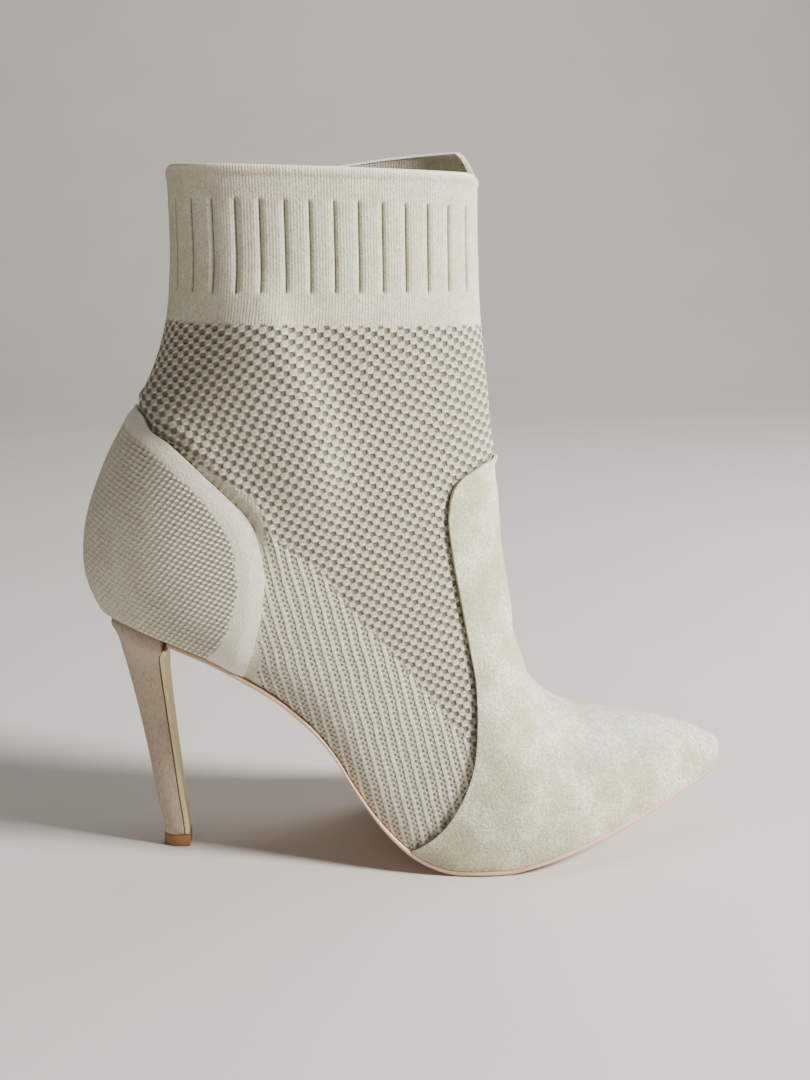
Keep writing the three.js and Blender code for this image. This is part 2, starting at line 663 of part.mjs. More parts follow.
// Top piece: the hard tip that the heel stands on, under the heel and the end of its strip
function makeTopPiece() {
  const ring = heelRing(HEEL_FOOT / HEEL_HEIGHT, TOP_PIECE_REACH);
  const back = ring[HEEL_AROUND / 2].x;
  const stretch = (ring[0].x - back + BREAST_STRIP) / (ring[0].x - back);
  return loft([0, TOP_PIECE_HEIGHT].map((z) => ring.map((p) => new THREE.Vector3(mix(back, p.x, stretch), p.y, z))));
}

const root = new THREE.Group();
const add = (name, solid, colour, roughness) => {
  const material = new THREE.MeshStandardMaterial({ color: colour, roughness, metalness: 0 });
  const mesh = new THREE.Mesh(toGeometry(solid), material);
  mesh.name = name;
  root.add(mesh);
};
add('knit_upper', makeUpper(), 0xb9aea0, 0.9);
add('vamp', makeVamp(), 0x9d9a8e, 0.95);
add('heel_counter', makeCounter(), 0xb5aa9c, 0.9);
add('insole', makeInsole(), 0xb49a7c, 0.7);
add('outsole', makeOutsole(), 0xc9a184, 0.6);
add('heel', makeHeel(), 0xa89c8c, 0.8);
add('heel_breast_strip', makeBreastStrip(), 0xcfc4ae, 0.6);
add('top_piece', makeTopPiece(), 0x8f6238, 0.5);

// The origin lies on the floor, under the middle of the boot's length and width
const middle = new THREE.Box3().setFromObject(root).getCenter(new THREE.Vector3());
root.position.set(-middle.x, -middle.y, 0);

export default root;
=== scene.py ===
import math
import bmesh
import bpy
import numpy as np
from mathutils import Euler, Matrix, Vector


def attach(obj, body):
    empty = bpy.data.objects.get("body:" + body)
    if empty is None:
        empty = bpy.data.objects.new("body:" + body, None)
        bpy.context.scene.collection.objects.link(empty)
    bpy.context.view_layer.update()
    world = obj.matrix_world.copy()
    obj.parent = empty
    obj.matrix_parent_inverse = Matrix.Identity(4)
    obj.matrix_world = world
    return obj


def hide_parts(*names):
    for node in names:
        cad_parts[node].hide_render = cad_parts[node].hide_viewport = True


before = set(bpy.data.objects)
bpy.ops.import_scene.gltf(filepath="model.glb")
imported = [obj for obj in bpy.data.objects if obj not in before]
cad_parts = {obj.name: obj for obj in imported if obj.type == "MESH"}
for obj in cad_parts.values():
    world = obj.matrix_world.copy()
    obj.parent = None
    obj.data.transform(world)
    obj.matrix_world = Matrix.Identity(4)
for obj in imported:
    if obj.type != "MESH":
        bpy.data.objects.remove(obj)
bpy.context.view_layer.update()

# %% [markdown]
# A sock boot is one knitted sleeve from the collar to the pointed toe, closed under the foot by a thin
# sole and lifted by a covered stiletto heel. The frame holds its plain solids. This lesson knits the
# sock again in fine detail, lays the soft vamp and the counter over it, and finishes the sole and heel.
# Every place is in metres, and the shoe's own sizes below are in millimetres.

MM = 0.001

# %% [markdown]
# The camera comes first, because every later choice is judged through it. The boot was seen from its
# outer side, a little from above and slightly from the back, with a phone held close. A focal length of
# 41 mm on a picture 36 mm tall gives the same spread of near and far.

# %% Camera
CAMERA_PLACE = (-0.0427, -0.4354, 0.2267)
CAMERA_TILT = 75.94
CAMERA_TURN = -5.0
CAMERA_LENS = 41.0
camera = bpy.data.objects.new("camera", bpy.data.cameras.new("camera"))
camera.data.lens = CAMERA_LENS
camera.data.sensor_width = 36.0
camera.location = CAMERA_PLACE
camera.rotation_euler = Euler((math.radians(CAMERA_TILT), 0, math.radians(CAMERA_TURN)))
bpy.context.scene.collection.objects.link(camera)
bpy.context.scene.camera = camera
print("camera at", CAMERA_PLACE)

# %% [markdown]
# A shoe is made on a last, a solid foot shape, and every piece of the upper takes its form from it. The
# last here is a row of flat slices that start on the underside or the back and lean up to the front
# line, so that they fan round the heel like the pages of a book. A fan follows the turn from the foot to
# the leg, where straight cuts across would pinch. The sizes and tables are those of the frame.

# %% Driving sizes of the last
LENGTH = 240.0
BALL_WIDTH = 76.0
HEEL_HEIGHT = 86.0
INSTEP = 152.0
SHAFT_HEIGHT = 162.5
SHAFT_DEPTH = 105.0
SHAFT_WIDTH = 52.0
WALL = 1.8
OVERLAY = 1.2
GAP = 0.3
SOLE_EDGE = 2.0
SOLE_REACH = 1.7
SINK = 4.5
LAST_TO_FRAME = np.array([-0.51, 0.37, 0.0])

# %% Sections of the last
# x, rise, lean, deep, leg, swing, out, inn
SECTIONS = [
    [0.496, 0.312, 90, 0.026, 0, 0.054, 0.000, 0.000],
    [0.4875, 0.242, 88, 0.080, 0, 0.053, 0.047, 0.047],
    [0.4735, 0.204, 90, 0.114, 0, 0.050, 0.083, 0.080],
    [0.447, 0.180, 91, 0.152, 0, 0.045, 0.130, 0.124],
    [0.406, 0.150, 92, 0.191, 0, 0.039, 0.198, 0.186],
    [0.357, 0.114, 92, 0.228, 0, 0.031, 0.276, 0.262],
    [0.303, 0.078, 92, 0.264, 0, 0.022, 0.355, 0.335],
    [0.246, 0.044, 92, 0.306, 0, 0.013, 0.424, 0.404],
    [0.189, 0.018, 87, 0.357, 0, 0.006, 0.470, 0.450],
    [0.131, 0.002, 81, 0.423, 0, 0.003, 0.489, 0.474],
    [0.074, -0.004, 74, 0.495, 0, 0, 0.486, 0.459],
    [0.016, 0.010, 69, 0.572, 0, 0, 0.462, 0.426],
    [-0.041, 0.074, 63, 0.635, 0, 0, 0.424, 0.388],
    [-0.090, 0.240, 57, 0.648, 0, 0, 0.390, 0.361],
    [-0.143, 0.498, 48, 0.634, 0, 0, 0.376, 0.353],
    [-0.205, 0.709, 39, 0.664, 0, 0, 0.378, 0.362],
    [-0.287, 0.858, 32, 0.754, 0, 0, 0.388, 0.381],
    [-0.377, 0.984, 27, 0.868, 0, 0, 0.399, 0.396],
    [-0.4355, 1.032, 24, 0.9565, 0, 0, 0.404, 0.404],
    [-0.490, 1.129, 20.5, 1.011, 0, 0, 0.404, 0.404],
    [-0.487, 1.250, 17.5, 1.046, 0.2, 0, 0.428, 0.428],
    [-0.455, 1.380, 14, 1.071, 0.5, 0, 0.455, 0.455],
    [-0.414, 1.492, 11, 1.094, 0.8, 0, 0.494, 0.494],
    [-0.381, 1.594, 6.0, 1.096, 1, 0, 0.522, 0.522],
    [-0.361, 1.685, 1.0, 1.039, 1, 0, 0.508, 0.508],
    [-0.353, 1.782, -0.8, 1.013, 1, 0, 0.500, 0.500],
    [-0.351, 1.890, -1.3, 1.002, 1, 0, 0.496, 0.496],
    [-0.352, 2.000, -1.4, 1.003, 1, 0, 0.496, 0.496],
]
# row, level, base, side, crown
ROUNDNESS = [
    [0, 0.40, 0.60, 0.55, 0.55],
    [3, 0.27, 0.84, 0.60, 0.50],
    [6, 0.20, 0.92, 0.60, 0.46],
    [10, 0.17, 0.92, 0.60, 0.48],
    [14, 0.24, 0.80, 0.60, 0.56],
    [17, 0.34, 0.72, 0.56, 0.60],
    [20, 0.41, 0.58, 0.46, 0.60],
    [23, 0.42, 0.58, 0.38, 0.60],
    [27, 0.42, 0.64, 0.40, 0.66],
]
# x, rise
SOLE = [
    [-0.54, 1.155], [-0.48, 1.095], [-0.43, 1.060], [-0.365, 0.985], [-0.31, 0.915],
    [-0.27, 0.845], [-0.226, 0.765], [-0.19, 0.680], [-0.16, 0.600], [-0.13, 0.487],
    [-0.103, 0.355], [-0.073, 0.228], [-0.045, 0.138], [-0.015, 0.066], [0.02, 0.018],
    [0.055, 0], [0.13, 0], [0.16, 0.018], [0.205, 0.047], [0.255, 0.078],
    [0.31, 0.112], [0.37, 0.155], [0.42, 0.197], [0.47, 0.237], [0.54, 0.290],
]
print(len(SECTIONS), "sections,", len(SOLE), "points under the sole")


# %% Curves through a few rows
def curve_through(rows):
    """A smooth function through rows of x and y, level wherever two neighbours are level."""
    xs, ys = np.array(rows, float).T
    slope = np.zeros(len(xs))
    for i in range(1, len(xs) - 1):
        if ys[i - 1] != ys[i] and ys[i + 1] != ys[i]:
            slope[i] = (ys[i + 1] - ys[i - 1]) / (xs[i + 1] - xs[i - 1])

    def at(x):
        x = np.asarray(x, float)
        i = np.searchsorted(xs[1:-1], x, side="left")
        span = xs[i + 1] - xs[i]
        t = (x - xs[i]) / span
        value = ys[i] * (1 + 2 * t) * (1 - t) ** 2 + ys[i + 1] * t * t * (3 - 2 * t)
        return value + span * (slope[i] * t * (1 - t) ** 2 - slope[i + 1] * t * t * (1 - t))

    return at


def spline_through(rows, s):
    """Places on an even spline through the rows, at steps s counted in rows."""
    rows = np.array(rows, float)
    s = np.asarray(s, float)
    i = np.minimum(s.astype(int), len(rows) - 2)
    t = (s - i).reshape(s.shape + (1,) * (rows.ndim - 1))
    a, b, c, d = (rows[np.clip(i + k, 0, len(rows) - 1)] for k in (-1, 0, 1, 2))
    bend = 2 * a - 5 * b + 4 * c - d
    return 0.5 * (2 * b + (c - a) * t + bend * t * t + (3 * b - a - 3 * c + d) * t ** 3)


def height_of(rise):
    """Height of a rise of 0 at the floor, 1 at the seat and 2 at the collar."""
    rise = np.asarray(rise, float)
    return np.where(rise <= 1, rise * HEEL_HEIGHT, HEEL_HEIGHT + (rise - 1) * SHAFT_HEIGHT)


sole_under = curve_through([[x * LENGTH, rise * HEEL_HEIGHT] for x, rise in SOLE])


def sole_top(x):
    return sole_under(x) + SOLE_EDGE


seat_height = round(float(sole_under(-90)), 1)
print("sole at the ball", float(sole_under(20)), "mm, at the seat", seat_height, "mm")


# %% Stations of the last
def station(index, row):
    x, rise, lean, deep, leg, swing, out, inn = row
    along = np.array([math.cos(math.radians(lean)), math.sin(math.radians(lean))])
    deep = deep * (INSTEP + (SHAFT_DEPTH - INSTEP) * leg)
    width = BALL_WIDTH + (SHAFT_WIDTH - BALL_WIDTH) * leg
    foot = np.array([x * LENGTH, float(height_of(rise))])
    under = float(sole_top(foot[0])) - foot[1]
    sink = SINK * min(max(under / SOLE_EDGE, 0), 1)
    top = foot + deep * along
    foot = foot - sink * along
    level, base, side, crown = (
        float(curve_through([[r[0], r[k]] for r in ROUNDNESS])(index)) for k in (1, 2, 3, 4)
    )
    level = (level * deep + sink) / (deep + sink)
    return [*foot, *top, swing * width, out * width, inn * width, level, base, side, crown]


STATIONS = np.array([station(i, row) for i, row in enumerate(SECTIONS)])
LAST_STATION = len(STATIONS) - 1
FINE = 40


def bezier(a, b, c, d, t):
    return a * (1 - t) ** 3 + 3 * b * t * (1 - t) ** 2 + 3 * c * t * t * (1 - t) + d * t ** 3


def half_outline(section, side, shares):
    """Half of a section from the foot point to the front line; side is -1 outside and 1 inside."""
    foot, top = section[0:2], section[2:4]
    swing, out, inn, level, base, flank, crown = section[4:]
    deep = math.hypot(*(top - foot))
    width = max(out if side < 0 else inn, 0)
    level = level * deep
    t = np.linspace(0, 1, FINE + 1)
    out_to_side = bezier(0, base * width, width, width, t)
    back_to_line = bezier(width, width, crown * width, 0, t)[1:]
    across = np.r_[out_to_side, back_to_line]
    low = bezier(0, 0, level * (1 - base), level, t)
    high = bezier(level, level + (deep - level) * flank, deep, deep, t)[1:]
    up = np.r_[low, high]
    run = np.r_[0, np.cumsum(np.hypot(np.diff(across), np.diff(up)))]
    goal = np.asarray(shares) * run[-1]
    across = np.interp(goal, run, across)
    up = np.interp(goal, run, up)[:, None] / deep
    flat = foot + (top - foot) * up
    return np.column_stack([flat[:, 0], swing + side * across, flat[:, 1]])


def last_rows(steps, shares):
    """The last's skin as rows of points: outer foot line, up over the front line, down the inner side."""
    rows = []
    for section in spline_through(STATIONS, steps):
        outer = half_outline(section, -1, shares)
        inner = half_outline(section, 1, shares)[::-1]
        rows.append(np.vstack([outer, inner[1:]]))
    return np.array(rows)


def outward(places):
    """Unit normals of such rows, joined over the closed back and over the tip of the toe."""
    along = np.gradient(places, axis=0)
    around = np.gradient(places, axis=1)
    around[:, 0] = around[:, -1] = (places[:, 1] - places[:, -2]) / 2
    normal = np.cross(around, along)
    if np.allclose(places[0], places[0, ::-1], atol=0.05):
        normal[0] = normal[1] + normal[1, ::-1]
    return normal / np.maximum(np.linalg.norm(normal, axis=2, keepdims=True), 1e-9)


# %% Even steps along the last
def even_steps(count, first=0.0, last=float(LAST_STATION), toe=3.0):
    """Steps spaced by how far the foot line or the front line moves, closer at the toe."""
    s = np.linspace(first, last, 1200)
    row = spline_through(STATIONS, s)
    foot = np.hypot(*np.diff(row[:, 0:2], axis=0).T)
    top = 0.8 * np.hypot(*np.diff(row[:, 2:4], axis=0).T)
    wide = 1.5 * np.abs(np.diff(row[:, 5]))
    move = np.maximum(np.maximum(foot, top), wide) * np.where(s[1:] < toe, 2.2, 1)
    run = np.r_[0, np.cumsum(move)]
    return np.interp(np.linspace(0, run[-1], count), run, s)


def step_below_collar(below):
    """The step whose foot point, on the back of the shaft, lies so far below the collar."""
    s = np.linspace(LAST_STATION - 6, LAST_STATION, 600)
    height = spline_through(STATIONS, s)[:, 1]
    return np.interp(float(height_of(2)) - np.asarray(below), height, s)


print(LAST_STATION + 1, "stations; the collar's back at", round(STATIONS[-1][0], 1), "mm")


# %% [markdown]
# Every soft piece of the boot is a sheet. A grid of squares is stretched over the last and stands off it
# by the piece's own lift, then it is trimmed to its edge line as a pattern is cut with scissors, and a
# Solidify modifier gives it its thickness. The trimming splits each mesh edge where it crosses the line,
# joins the new points and drops what lies outside, so that the edge is smooth at any grid spacing.

# %% From a grid to a sheet
def sheet(places, uv, layers):
    """A grid stretched over rows of places in mm, with its UV map and named values at its points."""
    rows, columns = places.shape[:2]
    mesh = bmesh.new()
    uv_layer = mesh.loops.layers.uv.new("UVMap")
    bmesh.ops.create_grid(mesh, x_segments=columns - 1, y_segments=rows - 1, size=0.5)
    kept = {name: mesh.verts.layers.float.new(name) for name in layers}
    cells = {}
    for vert in mesh.verts:
        row = round((vert.co.y + 0.5) * (rows - 1))
        column = round((vert.co.x + 0.5) * (columns - 1))
        cells[vert] = (row, column)
        vert.co = (places[row, column] + LAST_TO_FRAME) * MM
        for name, layer in kept.items():
            vert[layer] = layers[name][row, column]
    for face in mesh.faces:
        for loop in face.loops:
            loop[uv_layer].uv = uv[cells[loop.vert]]
    return mesh


def trim(mesh, name):
    """Keep the side of the sheet where the named value is above zero."""
    layer = mesh.verts.layers.float[name]
    crossing = [e for e in mesh.edges if e.verts[0][layer] * e.verts[1][layer] < 0]
    cut = []
    for edge in crossing:
        first, second = edge.verts
        share = first[layer] / (first[layer] - second[layer])
        vert = bmesh.utils.edge_split(edge, first, share)[1]
        vert[layer] = 0.0
        cut.append(vert)
    bmesh.ops.connect_verts(mesh, verts=cut)
    lost = [f for f in mesh.faces if sum(v[layer] for v in f.verts) < 0]
    bmesh.ops.delete(mesh, geom=lost, context="FACES")


def weld(mesh):
    """Join doubled points and turn every face outwards; an open sheet may come out turned in."""
    bmesh.ops.remove_doubles(mesh, verts=mesh.verts, dist=0.02 * MM)
    bmesh.ops.recalc_face_normals(mesh, faces=mesh.faces)
    outermost = min(mesh.faces, key=lambda face: face.calc_center_median().y)
    if outermost.normal.y > 0:
        bmesh.ops.reverse_faces(mesh, faces=mesh.faces)


def finished(mesh, name, material, nodes):
    """Turn a mesh into the piece that stands for the named nodes of the frame."""
    data = bpy.data.meshes.new(name)
    for face in mesh.faces:
        face.smooth = True
    mesh.to_mesh(data)
    mesh.free()
    piece = bpy.data.objects.new(name, data)
    bpy.context.scene.collection.objects.link(piece)
    data.materials.append(material)
    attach(piece, "root")
    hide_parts(*nodes)
    print(name, len(data.polygons), "faces")
    return piece


def thicken(piece, thickness, rounding, segments=2):
    """Give a sheet its thickness inwards, and round the edges that carry a bevel weight."""
    wall = piece.modifiers.new("wall", "SOLIDIFY")
    wall.thickness = thickness * MM
    wall.offset = -1
    soft = piece.modifiers.new("soft edge", "BEVEL")
    soft.limit_method = "WEIGHT"
    soft.width = rounding * MM
    soft.segments = segments
    soft.profile = 0.5


def weigh(mesh, chosen):
    """Mark open edges for rounding."""
    layer = mesh.edges.layers.float.new("bevel_weight_edge")
    for edge in mesh.edges:
        if edge.is_boundary and chosen(edge):
            edge[layer] = 1.0


# %% Distance to a line in side view
def side_line(rows, pieces=80):
    """Points in mm along a spline through rows of x and rise."""
    rows = [[x * LENGTH, float(height_of(rise))] for x, rise in rows]
    return spline_through(rows, np.linspace(0, len(rows) - 1, pieces))


def side_distance(places, line):
    """Distance in side view to a line, above zero on the left of its direction."""
    flat = places[..., [0, 2]].reshape(-1, 1, 2)
    start, way = line[:-1], np.diff(line, axis=0)
    share = ((flat - start) * way).sum(2) / (way ** 2).sum(1)
    off = flat - start - way * np.clip(share, 0, 1)[..., None]
    far = np.hypot(off[..., 0], off[..., 1])
    near = far.argmin(1)
    pick = np.arange(len(near))
    turn = way[near, 0] * off[pick, near, 1] - way[near, 1] * off[pick, near, 0]
    return (np.sign(turn) * far[pick, near]).reshape(places.shape[:-1])


def bump(distance, width):
    """A soft hump across a line."""
    return np.exp(-(distance / width) ** 2)


def soft_step(value, low, high):
    t = np.clip((value - low) / (high - low), 0, 1)
    return t * t * (3 - 2 * t)


def spread(row, like):
    """One row of values repeated down a whole grid."""
    return np.broadcast_to(row[None, :], like.shape)


# %% [markdown]
# The edges of the vamp and of the counter are lines in side view, and so are the borders where the knit
# changes its stitch. They are given as shares of the shoe's length and as rises, as in the frame.

# %% Edges and stitch borders
VAMP_EDGE = [
    [0.150, 1.386], [0.105, 1.379], [0.081, 1.367], [0.057, 1.348], [0.046, 1.324], [0.041, 1.289],
    [0.040, 1.255], [0.047, 1.180], [0.062, 1.060], [0.073, 0.950], [0.081, 0.800], [0.081, 0.640],
    [0.076, 0.500], [0.065, 0.395], [0.049, 0.300], [0.027, 0.210], [0.000, 0.140], [-0.035, 0.075],
    [-0.090, -0.010],
]
COUNTER_EDGE = [
    [-0.460, 1.520], [-0.403, 1.500], [-0.384, 1.467], [-0.354, 1.440], [-0.313, 1.386],
    [-0.273, 1.330], [-0.250, 1.293], [-0.237, 1.248], [-0.230, 1.185], [-0.229, 1.135],
    [-0.235, 1.080], [-0.248, 1.000], [-0.262, 0.880], [-0.285, 0.700],
]
COUNTER_BAND = [
    [-0.420, 1.465], [-0.383, 1.429], [-0.355, 1.391], [-0.327, 1.353], [-0.300, 1.308],
    [-0.280, 1.260], [-0.271, 1.217], [-0.268, 1.152], [-0.272, 1.108], [-0.280, 1.062],
    [-0.292, 1.020], [-0.315, 0.950],
]
PLAIN_WEDGE = [
    [-0.430, 1.500], [-0.388, 1.462], [-0.350, 1.432], [-0.312, 1.404], [-0.284, 1.376],
    [-0.258, 1.352], [-0.238, 1.330], [-0.229, 1.288], [-0.229, 1.247], [-0.231, 1.190],
]
WALE_BORDER = [
    [-0.500, 1.400], [-0.360, 1.370], [-0.260, 1.322], [-0.229, 1.277], [-0.197, 1.231], [-0.155, 1.186],
    [-0.128, 1.138], [-0.107, 1.092], [-0.085, 1.052], [-0.053, 0.997], [0.003, 0.802], [0.060, 0.600],
]
SHAFT_FOLD = [
    [-0.262, 1.960], [-0.248, 1.868], [-0.211, 1.675], [-0.160, 1.472], [-0.148, 1.283], [-0.136, 1.111],
]
vamp_line = side_line(VAMP_EDGE)
counter_line = side_line(COUNTER_EDGE)
print("vamp edge from", vamp_line[0].round(1), "to", vamp_line[-1].round(1))

# %% [markdown]
# The knitted sock carries everything. Its cuff is folded over at the top, plain for a finger's width and
# then pressed into flat ribs by narrow grooves. Grooves as shading alone look flat from the side, so they
# are sunk into the mesh, and the grid has closer columns at each groove to hold them sharp. The soft fold
# down the shaft, the dent and roll above the counter and the slack of the ankle are humps and hollows
# placed one by one.

# %% Grid of the sock
RIBS = 32
RIB_TOP = 10.8
RIB_LENGTH = 30.0
RIB_DEPTH = 0.65
RIM_HEIGHT = 3.2
RIM_STEP = 0.3
FAR_RIM_RISE = 8.0
CORNER_DIP = 2.0
GROOVE_FORM = [0, 0.034, 0.075, 0.5]
RIB_SHARES = [0, 0.034, 0.075, 0.30, 0.5, 0.70, 0.925, 0.966]
RIB_END = 0.4
groove_shares = [(k + 0.5 + part) * 2 / RIBS for k in range(-1, RIBS // 2) for part in RIB_SHARES]
KNIT_SHARES = np.array(sorted(share for share in groove_shares if 0 <= share <= 1))
CUFF_ROWS = [43, 41.8, 41.2, 40.6, 39.8, 37, 33, 29, 25, 21, 17, 13.5, 11.9, 11.1, 10.5, 9.8, 8.2, 6.2]
RIM_ROWS = [5.0, 4.2, 3.6, 3.0, 2.4, 1.8, 1.2, 0.7, 0.3, 0.0]
low_steps = even_steps(138, last=float(step_below_collar(44.5)))
knit_steps = np.r_[low_steps, step_below_collar(CUFF_ROWS + RIM_ROWS)]
knit_base = last_rows(knit_steps, KNIT_SHARES)
print("sock grid", knit_base.shape[:2])

# %% Fields of the sock
back_height = spline_through(STATIONS, knit_steps)[:, 1]
below = np.repeat((float(height_of(2)) - back_height)[:, None], knit_base.shape[1], axis=1)
collar_slope = math.tan(math.radians(SECTIONS[-1][2]))
level_below = height_of(2) + (knit_base[..., 0] - STATIONS[-1][0]) * collar_slope - knit_base[..., 2]
half = len(KNIT_SHARES) - 1
share_row = np.r_[KNIT_SHARES, KNIT_SHARES[::-1][1:]]
side_row = np.where(np.arange(2 * half + 1) <= half, -1.0, 1.0)
groove_at = np.abs((share_row * RIBS / 2 - 0.5) - np.round(share_row * RIBS / 2 - 0.5))
counter_off = side_distance(knit_base, counter_line)
wedge_off = side_distance(knit_base, side_line(PLAIN_WEDGE))
wale_off = side_distance(knit_base, side_line(WALE_BORDER))
vamp_off = side_distance(knit_base, vamp_line)
fold_off = side_distance(knit_base, side_line(SHAFT_FOLD))

FOLD_HEIGHT = 3.8
FOLD_LEFT = 21.0
FOLD_RIGHT = 8.0
PRESSED_IN = 1.1
ROLL_HEIGHT = 0.9
VAMP_DENT = 0.4
SLACK_HEIGHT = 0.35
LIP_ROUND = 0.5
rib_bottom = RIB_TOP + RIB_LENGTH
under_rib_top = soft_step(below, RIB_TOP - RIB_END, RIB_TOP + RIB_END)
under_rib_bottom = soft_step(below, rib_bottom - RIB_END, rib_bottom + RIB_END)
in_ribs = under_rib_top * (1 - under_rib_bottom)
groove = -RIB_DEPTH * np.interp(groove_at, GROOVE_FORM, [1, 0.45, 0.0, -0.12])
lift = in_ribs * groove[None, :]
lift += RIM_STEP * (1 - soft_step(below, RIM_HEIGHT - 0.9, RIM_HEIGHT + 0.6))
lift -= LIP_ROUND * (1 - soft_step(below, 0.0, 0.8))
height = knit_base[..., 2]
fold_fade = soft_step(below, 26, 60) * (1 - soft_step(below, 128, 165)) * (side_row < 0)
lift += fold_fade * FOLD_HEIGHT * bump(fold_off, np.where(fold_off < 0, FOLD_LEFT, FOLD_RIGHT))
upper_edge = soft_step(height, 112, 136)
under_counter = soft_step(counter_off, -9.0, -4.5) * (1 - soft_step(counter_off, 0.4, 2.6))
lift -= PRESSED_IN * under_counter * upper_edge
lift += ROLL_HEIGHT * bump(counter_off - 4.6, 2.4) * upper_edge
lift -= VAMP_DENT * bump(vamp_off + 0.6, 0.9)
slack = np.sin(height / 9.0 + 0.06 * knit_base[..., 0]) * bump(height - 160, 26)
lift += SLACK_HEIGHT * slack * soft_step(share_row, 0.15, 0.5)[None, :]
print("lift from", round(lift.min(), 2), "to", round(lift.max(), 2), "mm")


# %% [markdown]
# The stitches need coordinates that run as the knit does. Round the shaft one coordinate counts the way
# round from the shin and the other the height. Towards the sole the wales stay as upright as they are on
# the leg, a little slanted to the toe, so lower down the coordinate is taken from the side view instead.

# %% Stitch coordinates
KNIT_SLANT = 0.24
SIDE_MIDDLE = -36.0
girth = 2 * SHAFT_DEPTH + 0.9 * SHAFT_WIDTH


def knit_uv(places, shares, sides):
    """Stitch coordinates in metres: the way round and the way up, both slanted like the knit."""
    ring = sides * (1 - shares) * girth / 2
    x, z = places[..., 0], places[..., 2]
    flat = sides * (girth / 4 + SIDE_MIDDLE - x)
    low = 1 - soft_step(z, 150, 205)
    way = ring + (flat - ring) * low
    uv = np.stack([way + KNIT_SLANT * z, z - KNIT_SLANT * way], axis=-1)
    return uv * MM


knit_coordinates = knit_uv(knit_base, share_row[None, :], side_row[None, :])
print("girth of the shaft", round(girth), "mm")


# %% [markdown]
# Materials are built from nodes, and the arithmetic between them is easier to read as sums. A small
# class stands for one value on its way through the nodes: plus, minus, times and divide add Math nodes,
# and one method adds any other node by its type, its settings and its inputs.

# %% One value in a material
class Value:
    def __init__(self, tree, socket=None):
        self.tree = tree
        self.socket = socket

    def node(self, kind, settings=None, inputs=None, out=0):
        made = self.tree.nodes.new(kind)
        for name, value in (settings or {}).items():
            setattr(made, name, value)
        for name, value in (inputs or {}).items():
            if isinstance(value, Value):
                self.tree.links.new(value.socket, made.inputs[name])
            else:
                made.inputs[name].default_value = value
        return Value(self.tree, made.outputs[out])

    def math(self, operation, other=None, first=None):
        pair = {0: self if first is None else first}
        if other is not None:
            pair[1] = other
        return self.node("ShaderNodeMath", {"operation": operation}, pair)

    def __add__(self, other):
        return self.math("ADD", other)

    def __sub__(self, other):
        return self.math("SUBTRACT", other)

    def __rsub__(self, other):
        return self.math("SUBTRACT", self, first=other)

    def __mul__(self, other):
        return self.math("MULTIPLY", other)

    def __truediv__(self, other):
        return self.math("DIVIDE", other)

    def wave(self):
        """1 at every whole number, -1 halfway between."""
        return (self * (2 * math.pi)).math("COSINE")

    def step(self, low, high):
        settings = {"interpolation_type": "SMOOTHSTEP"}
        inputs = {"Value": self, "From Min": low, "From Max": high}
        return self.node("ShaderNodeMapRange", settings, inputs)

    def blend(self, low, high):
        """A number between two others, by this value."""
        return self * (high - low) + low

    def tint(self, first, second):
        """A colour between two others, by this value. Each is a colour or a Value."""
        rgba = [c if isinstance(c, Value) else (*colour(*c), 1) for c in (first, second)]
        inputs = {0: self, 6: rgba[0], 7: rgba[1]}
        return self.node("ShaderNodeMix", {"data_type": "RGBA"}, inputs, out=2)


def colour(red, green, blue):
    """A linear colour from the usual 0 to 255."""
    return tuple(((c / 255 + 0.055) / 1.055) ** 2.4 if c > 10 else c / 3295 for c in (red, green, blue))


# %% Starting and closing a material
def finish_of(name):
    material = bpy.data.materials.new(name)
    material.use_nodes = True
    material.node_tree.nodes.clear()
    return material, Value(material.node_tree)


def places_of(start):
    """The object's own coordinates, in metres."""
    return start.node("ShaderNodeTexCoord", out=3)


def noise(start, where, size, detail=2.0, rough=0.5):
    """Soft noise whose patches are about that many millimetres across."""
    inputs = {"Vector": where, "Scale": 1 / (size * MM), "Detail": detail, "Roughness": rough}
    return start.node("ShaderNodeTexNoise", None, inputs)


def named(start, name):
    return start.node("ShaderNodeAttribute", {"attribute_name": name}, out=2)


def close_finish(material, start, base, roughness, height, depth, sheen=0.0, coat=0.0):
    """Bring colour, roughness and relief together in one surface. depth is in millimetres."""
    inputs = {"Height": height, "Distance": depth * MM, "Strength": 1.0}
    relief = start.node("ShaderNodeBump", None, inputs)
    inputs = {"Base Color": base, "Roughness": roughness, "Normal": relief}
    inputs.update({"Sheen Weight": sheen, "Sheen Roughness": 0.45, "Coat Weight": coat})
    shader = start.node("ShaderNodeBsdfPrincipled", None, inputs)
    output = material.node_tree.nodes.new("ShaderNodeOutputMaterial")
    material.node_tree.links.new(shader.socket, output.inputs["Surface"])
    return material


print("material helpers ready")

# %% [markdown]
# The knit is one pale stone yarn in several stitches. The shaft and the ankle have a mesh of staggered
# holes, the quarters have upright wales with small slits between them, and the cuff and the bands are
# plain. Two cosine waves multiplied make a staggered row of spots, which serves for all of them at
# different sizes, and values kept on the mesh say which stitch is where. The holes and slits get painted
# shade, and the loops and raised wales get painted highlight.

# %% Stitches
YARN = (224, 219, 196)
YARN_WARM = (210, 201, 180)
# a paler yarn tone, also used as the colour of painted highlights
PALE_YARN_AND_HIGHLIGHT = (250, 247, 231)
YARN_DARK = (160, 149, 130)
# painted shade: the colour of grooves and folds
HOLE_SHADE = (88, 76, 62)
# painted shade: the dark colour given to holes and slits, standing in for the shade inside them
CREASE_SHADE = (84, 72, 61)
MESH_PITCH = (4.45, 4.1)
WALE_PITCH = (2.3, 2.1)
FINE_PITCH = (3.0, 2.2)


def staggered(u, v, pitch):
    return (u / (pitch[0] * MM)).wave() * (v / (pitch[1] * MM)).wave()


